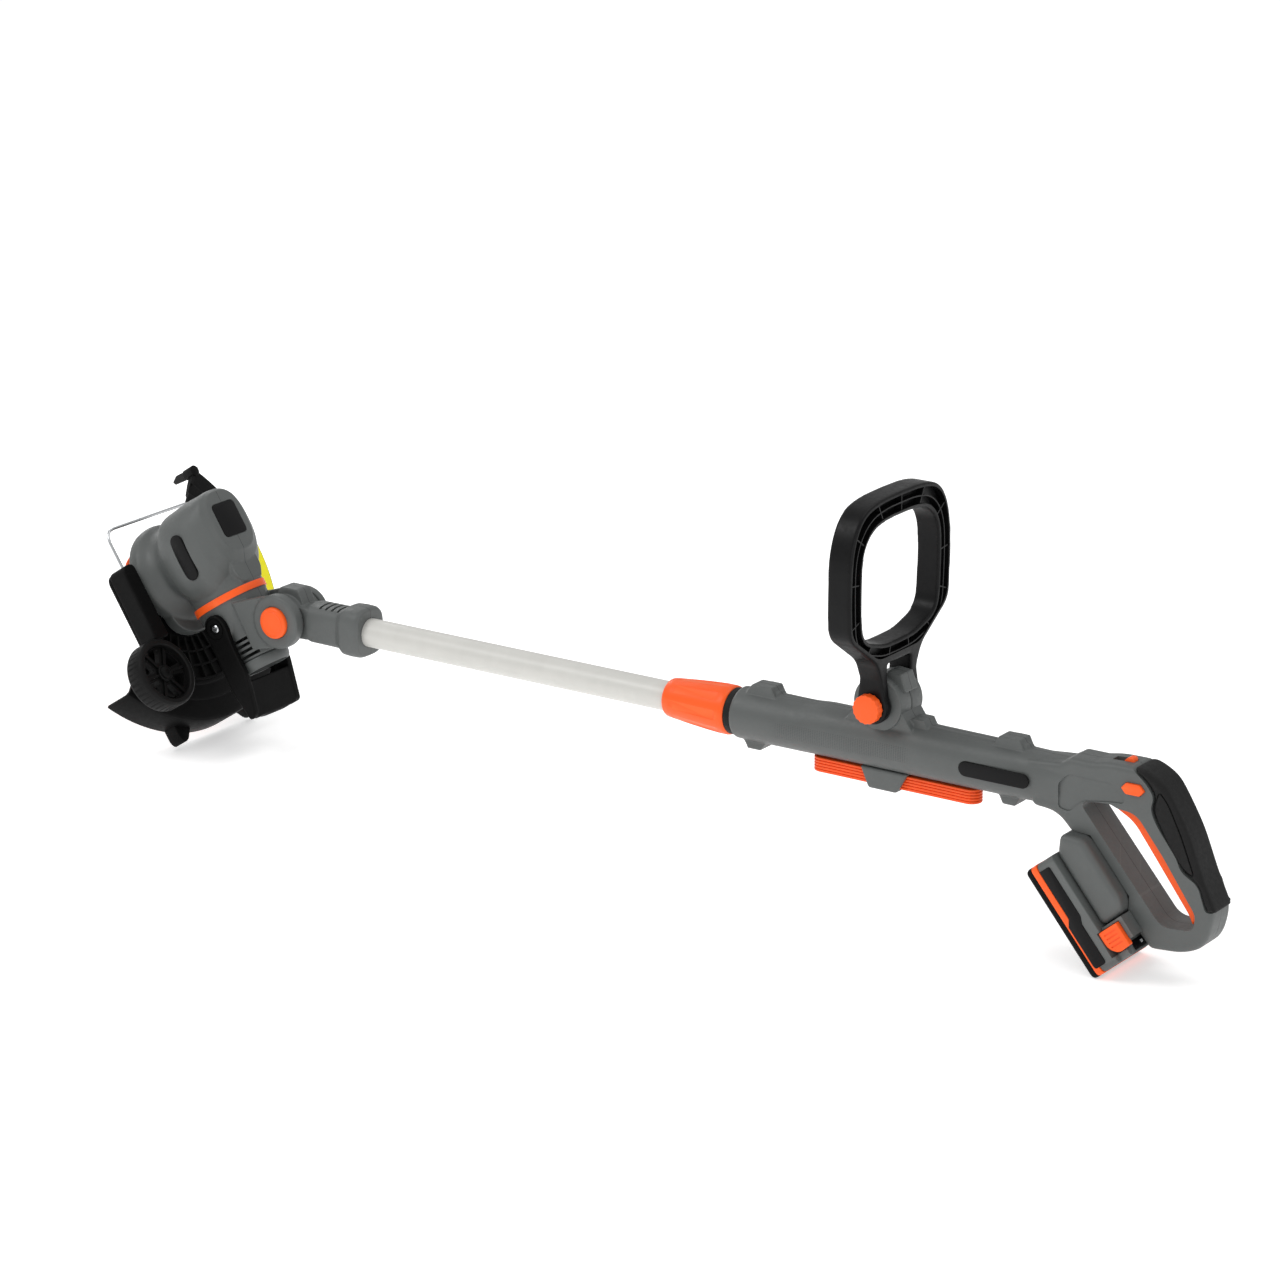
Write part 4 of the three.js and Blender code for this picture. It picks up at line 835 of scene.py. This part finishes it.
trigger = skin_object('trigger', [prism(outline(
    [(449.5, -4), (450.5, -10), (466, -18, 8), (483, -40, 8), (517, -85, 5), (519.5, -91.5),
     (525.5, -85), (503, -40, 8), (485, -14, 8), (474, -4.5, 5)]), -9, 9, 'Y')], POLE)
round_edges(trigger, 1.8, 5)
finish_piece(trigger, ORANGE, 'trigger', 'orange_trim', 'trigger')
lock = skin_object('lock_off_button', [prism(outline(
    [(459, 11.5, 1), (463, 7, 1), (475, 7, 1), (479, 11.5, 1), (475, 16, 1), (463, 16, 1)]),
    -18.8, 18.8, 'Y')], POLE)
round_edges(lock, 1.2, 4)
finish_piece(lock, ORANGE, 'lock_off', 'orange_trim', 'lock_off_button')
switch = skin_object('speed_switch', [prism(outline(
    [(452, 22.8), (462, 22.8), (462, 26.4, 1), (461.2, 31.3, 2.5), (456.2, 31.3, 2.5),
     (452.4, 26.4, 1)]), -4, 4, 'Y')], POLE)
round_edges(switch, 0.8, 3)
finish_piece(switch, ORANGE, 'speed_switch', 'orange_trim', 'speed_switch')

nameplate = skin_object('handle_badge', [prism(stadium(63, 12, 348.5, 0.5), -21.9, -20, 'Y')], POLE)
round_edges(nameplate, 0.5)
finish_piece(nameplate, BADGE, 'handle', 'dark_label', 'handle_badge')

# ---- battery dock and battery -------------------------------------------------------------------
dock = melted('battery_dock', [prism(dock_side, -30, 30, 'Y')], STRUT, voxel=0.7, smooth=3,
              round_width=5)
boolean(dock, [block(305, 380, -24.5, 24.5, 288.5, 301), block(305, 380, -14.5, 14.5, 280, 292),
               block(270, 420, -HALF_GRIP - 0.3, HALF_GRIP + 0.3, 302, 330)], STRUT)
finish_piece(dock, GREY_PLAIN, 'handle', 'grey_casing', 'battery_dock')


def pack_face(inset):
    return outline([(299.5 + inset, -37 + inset, 5), (398 - inset, -37 + inset, 5),
                    (398 - inset, 37 - inset, 5), (299.5 + inset, 37 - inset, 5)])


room = block(302.5, 395, -34, 34, 258.4, 279)
base = skin_object('battery_base', [prism(pack_face(0), 253.8, 272, 'Z')], STRUT)
round_edges(base, 3.6, 5, angle=50)
boolean(base, [room, block(290, 410, -40, 40, 260, 280)], STRUT)
finish_piece(base, BLACK, 'battery', 'black_casing', 'battery_base')
strip = skin_object('battery_band', [prism(pack_face(0), 260.3, 266, 'Z')], STRUT)
boolean(strip, [room], STRUT)
round_edges(strip, 0.4, 2, angle=50)
finish_piece(strip, ORANGE, 'battery', 'orange_trim', 'battery_band')
case = skin_object('battery_case', [prism(pack_face(0.4), 266.3, 283.3, 'Z')], STRUT)
round_edges(case, 1.2, 4, angle=50)
boolean(case, [
    prism(outline([(367.6, -31.5, 2), (397.6, -31.5, 5), (397.6, 31.5, 5), (367.6, 31.5, 2)]),
          282, 293.4, 'Z'),
    block(367.6, 386, -31.5, 31.5, 290, 305), block(307, 368, -14, 14, 282, 290),
    block(307, 367.9, -20, 20, 289.2, 297)], STRUT, 'UNION')
boolean(case, [room, block(360, 410, -17.2, 17.2, 296.6, 320),
               block(369.5, 391.5, -40, -27, 280.5, 301), block(369.5, 391.5, 27, 40, 280.5, 301),
               block(387.6, 396, -22, 22, 292.6, 296)], STRUT)
round_edges(case, 0.5, 2, angle=50)
finish_piece(case, GREY_PLAIN, 'battery', 'grey_casing', 'battery_case')

release_face = outline([(370, 281, 1), (384, 281, 5), (391, 288, 4), (390, 300.5, 1),
                        (370, 300.5, 1)])
for name, body, low, high, out in (('release_button_left', 'release_left', -35.6, -30, -1),
                                   ('release_button_right', 'release_right', 30, 35.6, 1)):
    latch = skin_object(name, [prism(release_face, low, high, 'Y')], STRUT)
    round_edges(latch, 1.2, 4)
    grooves = [block(x - 0.5, x + 0.5, out * 35.4 - 0.5, out * 35.4 + 0.5, 285, 297)
               for x in (374, 377.5, 381, 384.5)]
    boolean(latch, grooves, STRUT)
    finish_piece(latch, ORANGE, body, 'orange_trim', name)

gauge = skin_object('charge_indicator', [block(388, 395.6, -21.6, 21.6, 293.0, 293.9)], STRUT)
round_edges(gauge, 0.3)
finish_piece(gauge, BADGE, 'battery', 'dark_label', 'charge_indicator')
lamps = skin_object('charge_lamps', [block(390.6, 393, y - 1.6, y + 1.6, 293.6, 294.15)
                                     for y in (-9, -3, 3, 9)], STRUT)
finish_piece(lamps, PALE_INK, 'battery', 'dark_label')
# Blank side labels that step down over the band, as the wrap-round label of a slide-on pack does.
for side, low, high in (('left', -37.35, -36.4), ('right', 36.4, 37.35)):
    wrap = skin_object(f'battery_label_{side}', [prism(outline(
        [(306, 266.6), (348, 266.6), (354, 262), (392, 262, 3), (392, 274, 3), (357, 274, 1),
         (351, 277, 1), (306, 277, 2)]), low, high, 'Y')], STRUT)
    round_edges(wrap, 0.25, 2)
    finish_piece(wrap, LABEL, 'battery', 'dark_label')

# ---- locking collar -----------------------------------------------------------------------------
collar = skin_object('locking_collar', [lathe(
    [(12.9, 31), (14.2, 31), (15.4, 31.8), (16.2, 33.4), (16.8, 38), (18.6, 56), (19.9, 72),
     (20.6, 84), (20.6, 91), (20.2, 92.8), (19.2, 93.7), (17.4, 93.7), (17.4, 50), (12.9, 50)],
    'X', segments=144)], POLE)
slope = math.degrees(math.atan2(20.0 - 16.85, 86 - 40))
tilted = []
for k in range(8):
    tool = prism(outline([(40, -3.3, 3), (87, -4.2, 3), (87, 4.2, 3), (40, 3.3, 3)]), 0, 12, 'Z')
    lean = Matrix.Translation((40, 0, 16.85)) @ about_y(-slope) @ Matrix.Translation((-40, 0, 0))
    tilted.append(turned_about(([lean @ Vector(p) for p in tool[0]], tool[1]), 45 * k, 'X'))
boolean(collar, tilted, POLE)
round_edges(collar, 0.4, 3, angle=50)
finish_piece(collar, ORANGE, 'collar', 'orange_trim', 'locking_collar')
seal = skin_object('seal_ring', [lathe(soft_pipe(17.4, 19.4, 94, 100.2, 0.8), 'X', segments=96)],
                   POLE)
finish_piece(seal, RUBBER, 'handle', 'soft_grip', 'seal_ring')

# ---- spare blades and their holder --------------------------------------------------------------
holder = melted('spare_blade_holder', [rib([(221, -18.5), (265, -18.5), (255, -36), (229, -36)], 13)],
                POLE, voxel=0.6, smooth=3, round_width=2)
boolean(holder, [block(210, 241, -9.6, 9.6, -34.2, -20.6), block(245, 280, -9.6, 9.6, -34.2, -20.6)],
        POLE)
finish_piece(holder, GREY_PLAIN, 'handle', 'grey_casing', 'spare_blade_holder')
for name, body, x0, x1 in (('spare_blades_front', 'spare_front', 172, 240.5),
                           ('spare_blades_rear', 'spare_rear', 245.5, 326)):
    leaves = [prism(stadium(x1 - x0, 18, (x0 + x1) / 2), -21.2 - 2.5 * (k + 1) + 0.45,
                    -21.2 - 2.5 * k, 'Z') for k in range(5)]
    stack = skin_object(name, leaves, POLE)
    round_edges(stack, 0.6, 3)
    core = skin_object('core', [block(x0 + 6, x1 - 6, -7.6, 7.6, -33, -21.4)], POLE)
    bm = bmesh.new()
    bm.from_mesh(stack.data)
    bm.from_mesh(core.data)
    bm.to_mesh(stack.data)
    bm.free()
    bpy.data.objects.remove(core)
    finish_piece(stack, BLADE, body, 'blade_plastic', name)

# ---- loop handle --------------------------------------------------------------------------------
loop_outer = outline(mirrored([
    (0, 210), (34, 209.5, 18), (60, 203, 18), (75, 178, 22), (77, 140, 20), (75, 104, 10),
    (34, 76, 8), (27.2, 60), (27.2, 50), (17.4, 50), (17.4, 72), (0, 72)]), 8)
loop_hole = outline(mirrored([
    (0, 191), (20, 191, 10), (43, 187, 14), (57, 170, 16), (58, 140, 20), (56, 106, 8),
    (48, 97, 8), (22, 89.5, 8), (0, 89)]), 8)
loop = melted('loop_handle', [
    prism(loop_outer, 228, 249, 'X'),
    lathe(soft_pipe(5.3, 14.5, -27.2, -17.4, 1.2), 'Y', LOOP_PIVOT, 64),
    lathe(soft_pipe(5.3, 14.5, 17.4, 27.2, 1.2), 'Y', LOOP_PIVOT, 64),
    prism(outline([(228, 58), (249, 58), (252, 40), (246, 28), (232, 28), (226, 40)]),
          -27.2, -17.4, 'Y'),
    prism(outline([(228, 58), (249, 58), (252, 40), (246, 28), (232, 28), (226, 40)]),
          17.4, 27.2, 'Y')], POLE, voxel=0.8, smooth=4, round_width=0)
boolean(loop, [prism(loop_hole, 220, 260, 'X')], POLE)
soften = loop.modifiers.new('melt', 'REMESH')
soften.mode = 'VOXEL'
soften.voxel_size = 0.0009
relax = loop.modifiers.new('relax', 'SMOOTH')
relax.factor = 0.5
relax.iterations = 16
apply_all(loop)
pocket_outer = outline(mirrored([
    (0, 206.8), (33, 206.3, 18), (58, 200, 18), (71.6, 177, 22), (73.6, 140, 20), (71.6, 106, 10),
    (31, 78.6, 8), (0, 78.6)]), 8)
pocket = skin_object('pocket', [prism(pocket_outer, 242, 260, 'X')], POLE)
boolean(pocket, [prism(offset(loop_hole, 3.0), 235, 270, 'X')], POLE)
middle = offset(loop_hole, 9.4)
net = skin_object('net', [prism(offset(middle, 0.55), 235, 248.2, 'X')], POLE)
boolean(net, [prism(offset(middle, -0.55), 230, 260, 'X')], POLE)
cross = []
for k in range(26):
    a = 2 * math.pi * (k + 0.5) / 26
    tool = turned_about(block(241, 248.2, 20, 140, -0.5, 0.5), math.degrees(a), 'X')
    cross.append(moved(tool, z=140))


def cut_by(obj, tool, operation='DIFFERENCE'):
    step = obj.modifiers.new('cut', 'BOOLEAN')
    step.operation = operation
    step.solver = 'MANIFOLD'
    step.object = tool
    apply_all(obj)


cut_by(pocket, net)
boolean(pocket, cross[::2], POLE)
cut_by(loop, pocket)
for spare in (net, pocket):
    bpy.data.objects.remove(spare)
finish_piece(loop, SATIN_BLACK, 'loop', 'black_casing', 'loop_handle', angle=35)

bolt = skin_object('loop_bolt', [lathe(
    [(0, -26.5), (4.8, -26.5), (4.8, 27.5), (10.5, 27.5), (10.5, 29.6), (9.6, 30.5), (0, 30.5)],
    'Y', LOOP_PIVOT, 64)], POLE)
finish_piece(bolt, GREY_PLAIN, 'loop', 'grey_casing', 'loop_bolt')
knob_face = [Vector((LOOP_PIVOT[0] + (11.7 + 0.25 * math.cos(16 * a)) * math.cos(a),
                     LOOP_PIVOT[1] + (11.7 + 0.25 * math.cos(16 * a)) * math.sin(a)))
             for a in (2 * math.pi * k / 192 for k in range(192))]
knob = skin_object('loop_knob', [prism(knob_face, -35, -27.6, 'Y')], POLE)
round_edges(knob, 0.7, 3, angle=60)
finish_piece(knob, ORANGE, 'loop_knob', 'orange_trim', 'loop_knob')

# ---- inner parts and small hardware keep their CAD shape, with soft edges -----------------------
kept = {
    'terminal_block': BLACK, 'control_board': BOARD, 'microswitch': BLACK,
    'trigger_spring': STEEL, 'handle_screw_1': DULL_STEEL, 'handle_screw_2': DULL_STEEL,
    'handle_screw_3': DULL_STEEL, 'collet': BLACK, 'tube_guide': BLACK, 'power_cable': BLACK,
    'battery_cells': CELLS, 'motor': DULL_STEEL, 'spindle_bearing': STEEL,
    'tilt_pivot_pin': DULL_STEEL, 'motor_shaft': STEEL, 'cooling_fan': BLACK,
}
for node, material in kept.items():
    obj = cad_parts[node]
    for material_slot in obj.material_slots:
        material_slot.link = 'OBJECT'
        material_slot.material = material
    if not obj.material_slots:
        obj.data.materials.append(material)
    if node not in ('trigger_spring', 'power_cable'):
        bevel = obj.modifiers.new('edges', 'BEVEL')
        bevel.width = 0.0003
        bevel.segments = 2
        bevel.limit_method = 'ANGLE'
        bevel.angle_limit = math.radians(50)

# ---- floor, light and camera --------------------------------------------------------------------
floor_mesh = bpy.data.meshes.new('floor')
floor_mesh.from_pydata([(-30, -30, 0), (30, -30, 0), (30, 30, 0), (-30, 30, 0)], [], [(0, 1, 2, 3)])
floor = bpy.data.objects.new('floor', floor_mesh)
bpy.context.scene.collection.objects.link(floor)
paper = Nodes('pale_floor')
paper.link(paper.mix(paper.noise(3, 2), rgb('fbfbfb'), rgb('fefefe')),
           paper.shader.inputs['Base Color'])
paper.shader.inputs['Roughness'].default_value = 0.9
paper.shader.inputs['Specular IOR Level'].default_value = 0.1
paper.shader.inputs['Emission Color'].default_value = (1, 1, 1, 1)
paper.shader.inputs['Emission Strength'].default_value = 0.43
floor.data.materials.append(paper.material)

world = bpy.data.worlds.new('studio')
bpy.context.scene.world = world
world.use_nodes = True
world.node_tree.nodes['Background'].inputs['Color'].default_value = (1, 1, 1, 1)
seen = world.node_tree.nodes.new('ShaderNodeLightPath')
gain = world.node_tree.nodes.new('ShaderNodeMapRange')
gain.inputs['To Min'].default_value = 0.58
gain.inputs['To Max'].default_value = 1.0
world.node_tree.links.new(seen.outputs['Is Camera Ray'], gain.inputs['Value'])
world.node_tree.links.new(gain.outputs['Result'],
                          world.node_tree.nodes['Background'].inputs['Strength'])


def softbox(name, place, target, size, power):
    lamp = bpy.data.lights.new(name, 'AREA')
    lamp.energy = power
    lamp.size = size
    obj = bpy.data.objects.new(name, lamp)
    obj.location = place
    direction = Vector(target) - Vector(place)
    obj.rotation_euler = direction.to_track_quat('-Z', 'Y').to_euler()
    bpy.context.scene.collection.objects.link(obj)


softbox('key', (-1.4, -1.6, 2.4), (0, 0, 0.1), 1.2, 26)
softbox('top', (0.5, 0.6, 2.6), (0, 0, 0.1), 1.6, 12)
softbox('side', (2.2, -1.2, 0.9), (0.2, 0, 0.1), 1.0, 7)
softbox('head_rim', (-1.8, 0.9, 1.0), (-0.45, 0, 0.15), 0.8, 7)

EYE = Vector((1997.1, -2905.8, 1153.4))
LOOK = Vector((-0.54026, 0.78608, -0.30032))
RIGHT = Vector((0.82413, 0.56641, 0.0))
turn = POLE.to_3x3().normalized()
look = (turn @ LOOK).normalized()
right = (turn @ RIGHT).normalized()
up = right.cross(look).normalized()
camera = bpy.data.objects.new('camera', bpy.data.cameras.new('camera'))
camera.matrix_world = Matrix((
    (right.x, up.x, -look.x, 0), (right.y, up.y, -look.y, 0), (right.z, up.z, -look.z, 0),
    (0, 0, 0, 1)))
camera.location = POLE @ EYE
camera.data.sensor_width = 36
camera.data.lens = 4500 / 1280 * 36
camera.data.clip_end = 60
bpy.context.scene.collection.objects.link(camera)
bpy.context.scene.camera = camera
bpy.context.scene.view_settings.view_transform = 'Standard'
